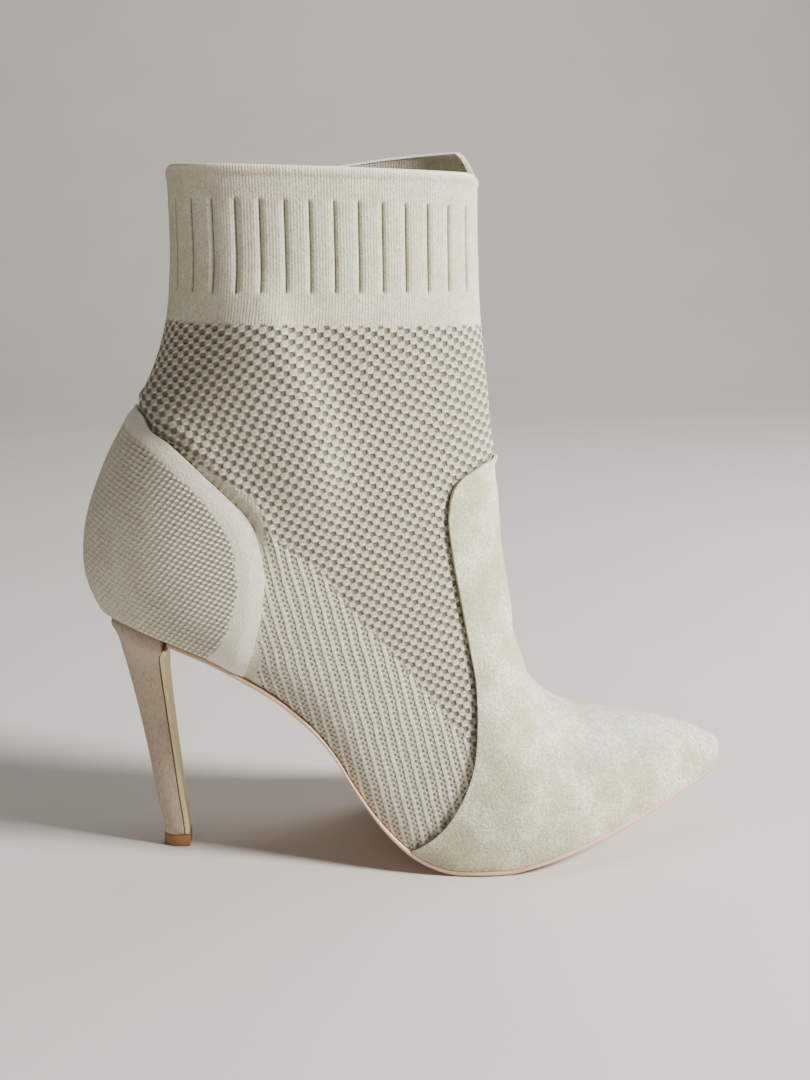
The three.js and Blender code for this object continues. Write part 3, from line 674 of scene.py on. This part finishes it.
def mesh_stitch(u, v, fuzz):
    """Height, painted shade in the holes and painted highlight on the loop above each hole, for the mesh
    of holes.
    """
    spots = staggered(u, v, MESH_PITCH) + fuzz * 0.9
    hole = spots.step(-0.30, 0.78)
    # painted highlight: a bright loop above each hole
    loop = staggered(u, v - 0.25 * MESH_PITCH[1] * MM, MESH_PITCH) + fuzz * 1.4
    light = loop.step(0.2, 0.85) * (1 - hole)
    # relief, painted shade in the holes, painted highlight on the loops
    return (1 - hole) * 0.85 + light * 0.15, hole * 0.80, light


def wale_stitch(u, v, fuzz):
    """The same for the upright wales: raised lines with two columns of slits between them."""
    spots = staggered(u, v, WALE_PITCH) + fuzz * 0.8
    ridge = (u / (1.5 * WALE_PITCH[0] * MM) + 0.335).wave() + fuzz * 0.7
    raised = ridge.step(-0.1, 0.8)
    slit = spots.step(-0.2, 0.8) * (1 - raised)
    # painted highlight along the raised wales
    light = raised * (v / (WALE_PITCH[1] * MM)).wave().blend(0.62, 0.95)
    # relief, painted shade in the slits, painted highlight along the raised wales
    return (1 - slit) * 0.55 + raised * 0.45, slit * 0.62, light * 0.65


def fine_stitch(u, v, fuzz):
    """The same for the close stitch of the counter."""
    spots = staggered(u, v, FINE_PITCH) + fuzz * 0.8
    hole = spots.step(-0.55, 0.85)
    # painted highlight between the holes
    light = (spots * -1).step(0.1, 0.9)
    # relief, painted shade in the holes, painted highlight between them
    return (1 - hole) * 0.7 + light * 0.3, hole * 0.34, light


# %% Knit of the sock
def knit_finish():
    material, start = finish_of("knit")
    where = places_of(start)
    uv = start.node("ShaderNodeUVMap", {"uv_map": "UVMap"})
    wobble = noise(start, where, 9.0, 1.0)
    parts = [start.node("ShaderNodeSeparateXYZ", None, {0: uv}, out=k) for k in (0, 1)]
    u = parts[0] + (wobble - 0.5) * (1.2 * MM)
    v = parts[1] + (wobble - 0.5) * (0.9 * MM)
    ragged = (noise(start, where, 2.2, 2.0) - 0.5) * 3.0
    under_cuff = (named(start, "below") + ragged * 0.3).step(50.0, 51.5)
    in_wales = (named(start, "wale") * -1 + ragged).step(-1.0, 2.5)
    in_wedge = (named(start, "wedge") + ragged * 0.4).step(-0.8, 0.4)
    grain = noise(start, where, 0.7, 3.0, 0.7)
    fluff = noise(start, where, 1.6, 4.0, 0.7)
    mesh = mesh_stitch(u, v, grain - 0.5)
    wale = wale_stitch(u, v, grain - 0.5)
    opened, hole, light = (m + (w - m) * in_wales for m, w in zip(mesh, wale))
    open_share = under_cuff * (1 - in_wedge)
    ribbing = (named(start, "ring") / (1.0 * MM)).wave() * 0.5 + 0.5
    plain_height = grain * 0.16 + fluff * 0.10 + ribbing * 0.05 + 0.72
    height = plain_height + (opened + grain * 0.35 - plain_height) * open_share
    patches = noise(start, where, 7.0, 4.0, 0.65)
    yarn = patches.step(0.35, 0.7).tint(YARN, YARN_WARM)
    yarn = (grain.step(0.60, 0.34) * 0.5).tint(yarn, YARN_DARK)
    yarn = (fluff.step(0.56, 0.72) * 0.5).tint(yarn, PALE_YARN_AND_HIGHLIGHT)
    yarn = (open_share * (1 - in_wales) * 0.3).tint(yarn, YARN_DARK)
    # painted highlight on the loops and raised wales
    yarn = (light * open_share).tint(yarn, PALE_YARN_AND_HIGHLIGHT)
    # painted shade: holes and slits darkened
    base = (hole * open_share).tint(yarn, HOLE_SHADE)
    # painted highlight along the rolled rim, which also lightens the shaded inner face of the far side
    base = (named(start, "below").step(2.6, 0.4) * 0.5).tint(base, PALE_YARN_AND_HIGHLIGHT)
    # painted shade in the rib grooves, the rim's fold, above the counter and beside the vamp's edge
    base = (named(start, "crease_shade") * 0.85).tint(base, CREASE_SHADE)
    return close_finish(material, start, base, 0.92, height, 1.2, sheen=0.1)


KNIT = knit_finish()
print("knit with", len(KNIT.node_tree.nodes), "nodes")

# %% [markdown]
# The sock is now stretched over the last. The collar of the far side stands a little higher towards the
# shin, as a soft cuff does, and its folded lip is rounded. A painted shade value is kept where the ribs,
# the fold of the rim, the dent above the counter and the vamp's edge pinch the yarn, because a groove in
# knit is darker than its depth alone makes it.

# %% Knitted sock
def make_sock():
    places = knit_base + lift[..., None] * outward(knit_base)
    far = soft_step(side_row * (1 - share_row), 0.0, 0.10) * soft_step(share_row, 0.1, 0.7)
    rise = FAR_RIM_RISE * (1 - soft_step(below, 0, 45)) * far
    places[..., 2] += rise * soft_step(places[..., 0], -62, 22)
    corner = 1 - soft_step(np.minimum(share_row, 1 - share_row), 0.0, 0.09)
    places[..., 2] -= CORNER_DIP * corner * (1 - soft_step(below, 0, 12))
    # painted shade in the rib grooves, the rim's fold, above the counter's edge and beside the vamp's
    # edge
    crease_shade = in_ribs * np.interp(groove_at, GROOVE_FORM, [1, 0.35, 0, 0])[None, :]
    crease_shade = np.maximum(crease_shade, 0.16 * bump(below - RIM_HEIGHT, 0.7))
    crease_shade = np.maximum(crease_shade, 0.7 * bump(counter_off - 0.3, 0.9) * upper_edge)
    crease_shade = np.maximum(crease_shade, 0.9 * bump(vamp_off + 0.35, 0.65))
    layers = {
        "below": level_below,
        "wale": wale_off,
        "wedge": -wedge_off,
        "crease_shade": crease_shade,
        "ring": spread(side_row * (1 - share_row) * girth / 2 * MM, below),
        "sole": places[..., 2] - sole_top(places[..., 0]) - GAP,
    }
    mesh = sheet(places, knit_coordinates, layers)
    trim(mesh, "sole")
    weld(mesh)
    collar = (float(height_of(2)) - 12) * MM
    weigh(mesh, lambda edge: edge.verts[0].co.z > collar)
    sock = finished(mesh, "knitted_sock", KNIT, ["knit_upper"])
    thicken(sock, WALL, 0.6, 3)
    return sock


sock = make_sock()

# %% [markdown]
# The vamp is a soft brushed piece that covers the toes and the instep. On the real boot its cut edge is
# turned under, so it ends in a small round roll with a dark line beside it. The sheet is made the same
# way as the sock, one gap further out, trimmed to its edge line and to the sole, and its edge rounded.

# %% Brushed vamp
def vamp_finish():
    material, start = finish_of("brushed_vamp")
    where = places_of(start)
    cloud = noise(start, where, 18.0, 2.0, 0.5)
    streak_place = start.node("ShaderNodeMapping", None, {"Vector": where, "Scale": (1.0, 1.0, 0.25)})
    streak = noise(start, streak_place, 4.2, 2.0, 0.5)
    nap = noise(start, where, 0.7, 4.0, 0.7)
    speckle = noise(start, where, 1.2, 3.0, 0.75)
    top_sheen_patches = noise(start, where, 40.0, 2.0, 0.5)
    # painted highlight: the top of the toe lightened and cooled, in patches
    top = named(start, "top") * top_sheen_patches.step(0.25, 0.55)
    low = named(start, "low")
    base = cloud.step(0.38, 0.62).tint((248, 249, 224), (210, 206, 172))
    base = (top * 0.85).tint(base, (224, 231, 233))
    # painted shade: darker towards the sole
    base = (low * cloud.blend(0.6, 1.0)).tint(base, (180, 168, 138))
    base = (streak.step(0.42, 0.66) * 0.35).tint(base, (196, 190, 160))
    base = (speckle.step(0.58, 0.42) * 0.42).tint(base, (166, 158, 130))
    base = (nap.step(0.55, 0.36) * 0.55).tint(base, (150, 142, 116))
    roughness = cloud.blend(0.86, 0.98)
    height = nap * 0.8 + streak * 0.1 + speckle * 0.6
    return close_finish(material, start, base, roughness, height, 0.55, sheen=0.05)


VAMP = vamp_finish()


# %% Overlays on the sock
def overlay(steps, line, inside, lift_of):
    """A sheet over the sock on one side of a line, for the vamp and the counter."""
    shares = np.linspace(0, 1, 81)
    base = last_rows(steps, shares)
    sides = np.where(np.arange(base.shape[1]) < len(shares), -1.0, 1.0)
    around = np.r_[shares, shares[::-1][1:]]
    off = inside * side_distance(base, line)
    places = base + lift_of(base, off)[..., None] * outward(base)
    layers = {
        "edge": inside * side_distance(places, line),
        "sole": places[..., 2] - sole_top(places[..., 0]) - GAP,
    }
    layers["band"] = side_distance(places, side_line(COUNTER_BAND))
    # low is 1 at the sole and 0 on top; the vamp darkens there as painted shade
    layers["low"] = spread(1 - soft_step(around, 0.02, 0.5), off)
    layers["front"] = soft_step(base[..., 0], -104, -84)
    # top marks the top of the toe, which the vamp lightens as painted highlight
    layers["top"] = soft_step(around, 0.55, 0.95)[None, :] * soft_step(base[..., 0], 22, 62)
    mesh = sheet(places, knit_uv(base, around[None, :], sides[None, :]), layers)
    trim(mesh, "edge")
    trim(mesh, "sole")
    weld(mesh)
    weigh(mesh, lambda edge: True)
    return mesh


def vamp_lift(base, off):
    return np.full(off.shape, GAP + OVERLAY)


vamp_mesh = overlay(even_steps(170, 0.0, 18.6), vamp_line, 1, vamp_lift)
vamp = finished(vamp_mesh, "brushed_vamp", VAMP, ["vamp"])
thicken(vamp, OVERLAY, 0.45, 3)

# %% [markdown]
# The counter is a stiffened panel round the heel, knitted in a finer stitch with a plain band along its
# edge. At the top it stands proud of the sock with a soft crease above it, and further down its front
# edge runs out into the quarter, so its lift fades there.


# %% Counter
def counter_finish():
    material, start = finish_of("counter_knit")
    where = places_of(start)
    uv = start.node("ShaderNodeUVMap", {"uv_map": "UVMap"})
    u, v = (start.node("ShaderNodeSeparateXYZ", None, {0: uv}, out=k) for k in (0, 1))
    ragged = (noise(start, where, 2.0, 2.0) - 0.5) * 2.4
    inside = (named(start, "band") * -1 + ragged).step(-0.6, 1.4)
    drawn = named(start, "front").blend(0.22, 1.0) * inside
    grain = noise(start, where, 0.7, 3.0, 0.7)
    stitch, hole, light = fine_stitch(u, v, grain - 0.5)
    plain = grain * 0.3 + ((u - v) / (1.1 * MM)).wave() * 0.09 * inside + 0.68
    height = plain + (stitch + grain * 0.25 - plain) * drawn
    patches = noise(start, where, 8.0, 4.0, 0.65)
    yarn = patches.step(0.35, 0.7).tint(YARN, YARN_WARM)
    yarn = (grain.step(0.60, 0.34) * 0.5).tint(yarn, YARN_DARK)
    # painted highlight on the counter stitch
    yarn = (light * drawn).tint(yarn, PALE_YARN_AND_HIGHLIGHT)
    yarn = ((1 - inside) * 0.5).tint(yarn, PALE_YARN_AND_HIGHLIGHT)
    # painted shade: holes of the counter stitch darkened
    base = (hole * drawn).tint(yarn, HOLE_SHADE)
    return close_finish(material, start, base, 0.92, height, 0.9, sheen=0.1)


def counter_lift(base, off):
    upper = soft_step(base[..., 2], 108, 136)
    edge = GAP + 0.15 + 0.1 * upper
    full = GAP + OVERLAY
    return edge + (full - edge) * soft_step(off, 0.0, 5.0)


COUNTER = counter_finish()
counter_mesh = overlay(even_steps(130, 11.5, 23.4), counter_line, -1, counter_lift)
counter = finished(counter_mesh, "heel_counter_knit", COUNTER, ["heel_counter"])
thicken(counter, OVERLAY, 0.35, 2)

# %% [markdown]
# The sole is a thin board whose edge shows as a fine peach line. Its outline is where the last meets the
# sole's top, moved out by the thickness of the soft pieces. It is a sleeve of rows across the foot,
# closer at the toe, with a softened lower edge. Its two ends are closed at the tip and before the heel.

# %% Outline of the sole
def sole_meeting(step, side):
    section = spline_through(STATIONS, np.array([step]))[0]
    half_line = half_outline(section, side, np.linspace(0, 0.5, 241))
    over = half_line[:, 2] - sole_top(half_line[:, 0])
    k = max(int(np.argmax(over >= 0)), 1)
    share = over[k - 1] / (over[k - 1] - over[k])
    return half_line[k - 1] + (half_line[k] - half_line[k - 1]) * min(max(share, 0), 1)


fine_steps = np.linspace(0, LAST_STATION, 2701)
foot_rows = spline_through(STATIONS, fine_steps)
sunk = fine_steps[foot_rows[:, 1] < sole_top(foot_rows[:, 0])]
turn = np.linspace(0, 1, 221)
eased = turn - 0.6 * np.sin(2 * math.pi * turn) / (2 * math.pi)
meeting_steps = sunk[0] + (sunk[-1] - sunk[0]) * eased
lines = {side: np.array([sole_meeting(s, side)[:2] for s in meeting_steps]) for side in (-1, 1)}
loop = np.vstack([lines[-1][::-1], lines[1][1:-1]])
way = np.roll(loop, -1, axis=0) - np.roll(loop, 1, axis=0)
way /= np.linalg.norm(way, axis=1, keepdims=True)
moved = loop + SOLE_REACH * np.column_stack([way[:, 1], -way[:, 0]])
count = len(meeting_steps)
outline = {-1: moved[:count][::-1], 1: np.vstack([moved[count - 1], moved[count:], moved[0]])}
TIP = outline[-1][0]


def sole_edge(x, side):
    """The sole's edge across at x, below zero on the outer side."""
    line = outline[side][::-1]
    return np.interp(x, line[:, 0], line[:, 1])


ball_width = round(float(sole_edge(12, 1) - sole_edge(12, -1)), 1)
print("sole from", TIP.round(1), "width at the ball", ball_width)

# %% Sole
# rise, drop of the front, back, front, half width, share of the sole's outline
HEEL_ROWS = [
    [0.058, 0, -0.4005, -0.3690, 0.064, 0],
    [0.23, 0, -0.4095, -0.3745, 0.068, 0],
    [0.46, 0, -0.4205, -0.3815, 0.075, 0],
    [0.66, 0, -0.4320, -0.3875, 0.090, 0],
    [0.83, 0.01, -0.4435, -0.3915, 0.118, 0],
    [0.92, 0.025, -0.4493, -0.3910, 0.155, 0.10],
    [0.985, 0.05, -0.4512, -0.3885, 0.205, 0.34],
    [1.03, 0.075, -0.4525, -0.3850, 0.252, 0.66],
    [1.08, 0.10, -0.4570, -0.3815, 0.285, 1],
]
HEEL_UNITS = [HEEL_HEIGHT, LENGTH, LENGTH, BALL_WIDTH, 1]
heel_drop, heel_back, heel_front, heel_wide, heel_seat = (
    curve_through([[row[0], row[k + 1] * unit] for row in HEEL_ROWS])
    for k, unit in enumerate(HEEL_UNITS)
)
BREAST_STRIP = 2.0
CORNER_SOFT = 0.6
CORNER_FLAT = 1.6
BREAST_X = float(heel_front(HEEL_ROWS[-1][0])) + BREAST_STRIP


def sole_finish():
    material, start = finish_of("sole_board")
    where = places_of(start)
    grain = noise(start, where, 1.1, 4.0, 0.6)
    wear = noise(start, where, 14.0, 3.0)
    base = grain.tint((222, 188, 162), (200, 164, 138))
    base = (wear.step(0.45, 0.75) * 0.5).tint(base, (180, 146, 120))
    return close_finish(material, start, base, wear.blend(0.42, 0.62), grain, 0.06, coat=0.1)


def make_sole():
    t = np.linspace(0, 1, 170)
    x = TIP[0] - (TIP[0] - BREAST_X) * (0.12 * t + 0.88 * t ** 1.6)
    edge = {side: sole_edge(x, side) for side in (-1, 1)}
    middle = (edge[-1] + edge[1]) / 2
    wide = np.maximum((edge[1] - edge[-1]) / 2, 0.0)
    ring = [(a, 0.0) for a in np.linspace(-1, 1, 13)]
    ring += [(1, 0.5), (1, 0.72), (0.9, 0.9), (0.5, 1.0)]
    ring += [(0, 1.0), (-0.001, 1.0), (-0.5, 1.0), (-0.9, 0.9), (-1, 0.72), (-1, 0.5)]
    across, level = np.array(ring).T
    outer = np.abs(across) > 0.4
    inset = np.where(level == 0.9, CORNER_SOFT, np.where((level == 1.0) & outer, CORNER_FLAT, 0))
    across = np.where(outer & (level > 0.8), np.sign(across), across)
    drop = level * SOLE_EDGE
    rows = []
    for k in range(len(x)):
        reach = np.maximum(wide[k] - np.minimum(inset, 0.8 * wide[k]), 0)
        y = middle[k] + across * reach
        rows.append(np.column_stack([np.full(len(ring), x[k]), y, sole_top(x[k]) - drop]))
    places = np.array(rows)
    places = np.concatenate([places, places[:, :1]], axis=1)
    mesh = sheet(places, places[..., :2] * MM, {})
    weld(mesh)
    bmesh.ops.holes_fill(mesh, edges=[e for e in mesh.edges if e.is_boundary], sides=0)
    bmesh.ops.recalc_face_normals(mesh, faces=mesh.faces)
    return finished(mesh, "sole_board", sole_finish(), ["outsole"])


sole = make_sole()

# %% [markdown]
# The heel is a slim block wrapped in smooth cloth. Its rings are narrow at the foot, flare towards the
# seat and take the sole's own outline at the top. Each column of the grid stops where it meets the seat,
# so the heel fits under the foot with no cut.

# %% Covered heel
HEEL_FOOT = 5.0
SEAT_INSET = 0.7
FLAT_FRONT = 0.9
HEEL_SEARCH_TOP = 1.20


def heel_point(rise, t):
    """A place on the heel; t is 1 at the front's inner corner, 0 at the back, -1 at the outer corner."""
    side = np.where(t < 0, -1, 1)
    along = np.abs(t) ** 1.6
    x = heel_back(rise) + (heel_front(rise) - heel_back(rise)) * along
    rounded = np.sqrt(np.maximum(1 - (1 - along) ** 2.4, 0)) * (1 + (FLAT_FRONT - 1) * along ** 3)
    plan = np.where(side < 0, sole_edge(x, -1), sole_edge(x, 1)) - side * SEAT_INSET
    y = side * heel_wide(rise) * rounded
    y = y + (plan - y) * heel_seat(rise)
    return np.stack([x, y, rise * HEEL_HEIGHT - heel_drop(rise) * along], axis=-1)


def cloth_finish():
    material, start = finish_of("heel_cloth")
    where = places_of(start)
    cloud = noise(start, where, 12.0, 3.0)
    thread = start.node("ShaderNodeMapping", None, {"Vector": where, "Scale": (1.0, 1.0, 0.3)})
    grain = noise(start, thread, 0.6, 3.0, 0.7)
    base = cloud.tint((196, 178, 158), (176, 156, 138))
    base = (grain.step(0.56, 0.36) * 0.5).tint(base, (144, 126, 108))
    return close_finish(material, start, base, cloud.blend(0.72, 0.86), grain, 0.12, sheen=0.1)


def make_heel():
    t = np.linspace(1, -1, 65)
    low = np.full(t.shape, HEEL_FOOT / HEEL_HEIGHT)
    a, b = low.copy(), np.full(t.shape, HEEL_SEARCH_TOP)
    for _ in range(40):
        middle = (a + b) / 2
        place = heel_point(middle, t)
        under = place[:, 2] < sole_top(place[:, 0])
        a, b = np.where(under, middle, a), np.where(under, b, middle)
    rows = []
    for share in np.linspace(0, 1, 60) ** 0.85:
        ring = heel_point(low + (a - low) * share, t)
        front = np.linspace(ring[-1], ring[0], 10)[1:]
        rows.append(np.vstack([ring, front]))
    places = np.array(rows)
    mesh = sheet(places, places[..., [1, 2]] * MM, {})
    weld(mesh)
    bmesh.ops.holes_fill(mesh, edges=[e for e in mesh.edges if e.is_boundary], sides=0)
    bmesh.ops.recalc_face_normals(mesh, faces=mesh.faces)
    return finished(mesh, "covered_heel", cloth_finish(), ["heel"])


heel = make_heel()

# %% [markdown]
# The strip down the heel's front, the top piece that it stands on and the board inside already have
# their true shapes in the frame. The copies of the strip and the top piece only get broken edges, because
# no real edge is perfectly sharp and light catches on a small round; the board keeps its own mesh and
# gets a new finish.


# %% Copies with broken edges
def softened(node, name, material, width):
    mesh = bmesh.new()
    mesh.from_mesh(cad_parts[node].data)
    weld(mesh)
    bmesh.ops.dissolve_limit(mesh, angle_limit=math.radians(1), verts=mesh.verts, edges=mesh.edges)
    sharp = [e for e in mesh.edges if e.is_manifold and e.calc_face_angle() > math.radians(40)]
    bmesh.ops.bevel(
        mesh, geom=sharp, offset=width * MM, segments=2, affect="EDGES", profile=0.5, material=-1
    )
    # distance behind the heel's front, used by the strip for a painted shade line
    depth = mesh.verts.layers.float.new("depth")
    for vert in mesh.verts:
        x, z = vert.co.x / MM - LAST_TO_FRAME[0], vert.co.z / MM
        vert[depth] = x - float(heel_front(z / HEEL_HEIGHT))
    return finished(mesh, name, material, [node])


def strip_finish():
    material, start = finish_of("heel_strip")
    where = places_of(start)
    grain = noise(start, where, 1.0, 3.0)
    base = grain.tint((230, 218, 172), (214, 198, 148))
    # painted shade: a brown line along the strip where it meets the heel cloth
    base = named(start, "depth").step(0.6, 0.4).tint(base, (176, 128, 84))
    return close_finish(material, start, base, grain.blend(0.5, 0.62), grain, 0.05)


def tip_finish():
    material, start = finish_of("top_piece")
    where = places_of(start)
    grain = noise(start, where, 1.6, 4.0)
    wear = noise(start, where, 3.5, 3.0)
    base = grain.tint((160, 112, 62), (132, 90, 50))
    base = (wear.step(0.5, 0.75) * 0.4).tint(base, (104, 76, 50))
    return close_finish(material, start, base, wear.blend(0.32, 0.52), grain, 0.05, coat=0.15)


def lining_finish():
    material, start = finish_of("insole_lining")
    where = places_of(start)
    grain = noise(start, where, 1.4, 4.0)
    base = grain.tint((206, 184, 152), (186, 162, 130))
    return close_finish(material, start, base, grain.blend(0.55, 0.7), grain, 0.08)


strip = softened("heel_breast_strip", "heel_strip", strip_finish(), 0.25)
tip = softened("top_piece", "heel_tip", tip_finish(), 0.35)
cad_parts["insole"].data.materials.clear()
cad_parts["insole"].data.materials.append(lining_finish())

# %% [markdown]
# The boot stands on a plain pale floor. One broad lamp high on the right gives the warm light that the
# knit was seen in, so the left of the shaft falls into soft shade, and a weak lamp on the left keeps that
# shade from going flat.


# %% Floor and light
FLOOR_HALF = 4.0
BEND_START = 1.2
BEND_RADIUS = 0.8


def floor():
    """A sheet that lies flat and bends up behind the boot, so that no horizon shows."""
    mesh = bmesh.new()
    bmesh.ops.create_grid(mesh, x_segments=1, y_segments=60, size=FLOOR_HALF)
    for vert in mesh.verts:
        behind = max(vert.co.y - BEND_START, 0.0)
        bend = min(behind / BEND_RADIUS, math.pi / 2)
        vert.co.y = min(vert.co.y, BEND_START) + BEND_RADIUS * math.sin(bend)
        vert.co.z = BEND_RADIUS * (1 - math.cos(bend)) + max(behind - BEND_RADIUS * math.pi / 2, 0)
    for face in mesh.faces:
        face.smooth = True
    data = bpy.data.meshes.new("floor")
    mesh.to_mesh(data)
    mesh.free()
    ground = bpy.data.objects.new("floor", data)
    bpy.context.scene.collection.objects.link(ground)
    material, start = finish_of("pale_floor")
    soft = noise(start, places_of(start), 120.0, 3.0)
    base = soft.tint((206, 203, 198), (198, 195, 190))
    data.materials.append(close_finish(material, start, base, 0.85, soft, 0.05))


def lamp(name, place, target, size, power, tint):
    data = bpy.data.lights.new(name, "AREA")
    data.shape = "DISK"
    data.size = size
    data.energy = power
    data.color = tint
    light = bpy.data.objects.new(name, data)
    light.location = place
    light.rotation_euler = (Vector(target) - Vector(place)).to_track_quat("-Z", "Y").to_euler()
    bpy.context.scene.collection.objects.link(light)


floor()
lamp("key", (1.12, -0.44, 0.84), (0, 0, 0.12), 0.30, 60.0, (1.0, 0.98, 0.92))
lamp("fill", (-0.7, -1.1, 0.4), (0, 0, 0.12), 0.9, 1.2, (1.0, 0.93, 0.85))
lamp("back", (0.3, 0.6, 1.6), (0, 1.2, 0.3), 1.2, 12.0, (1.0, 0.98, 0.95))
world = bpy.data.worlds.new("room")
world.use_nodes = True
background = world.node_tree.nodes["Background"]
background.inputs["Color"].default_value = (0.80, 0.76, 0.72, 1)
background.inputs["Strength"].default_value = 0.14
bpy.context.scene.world = world
print("lamps set")
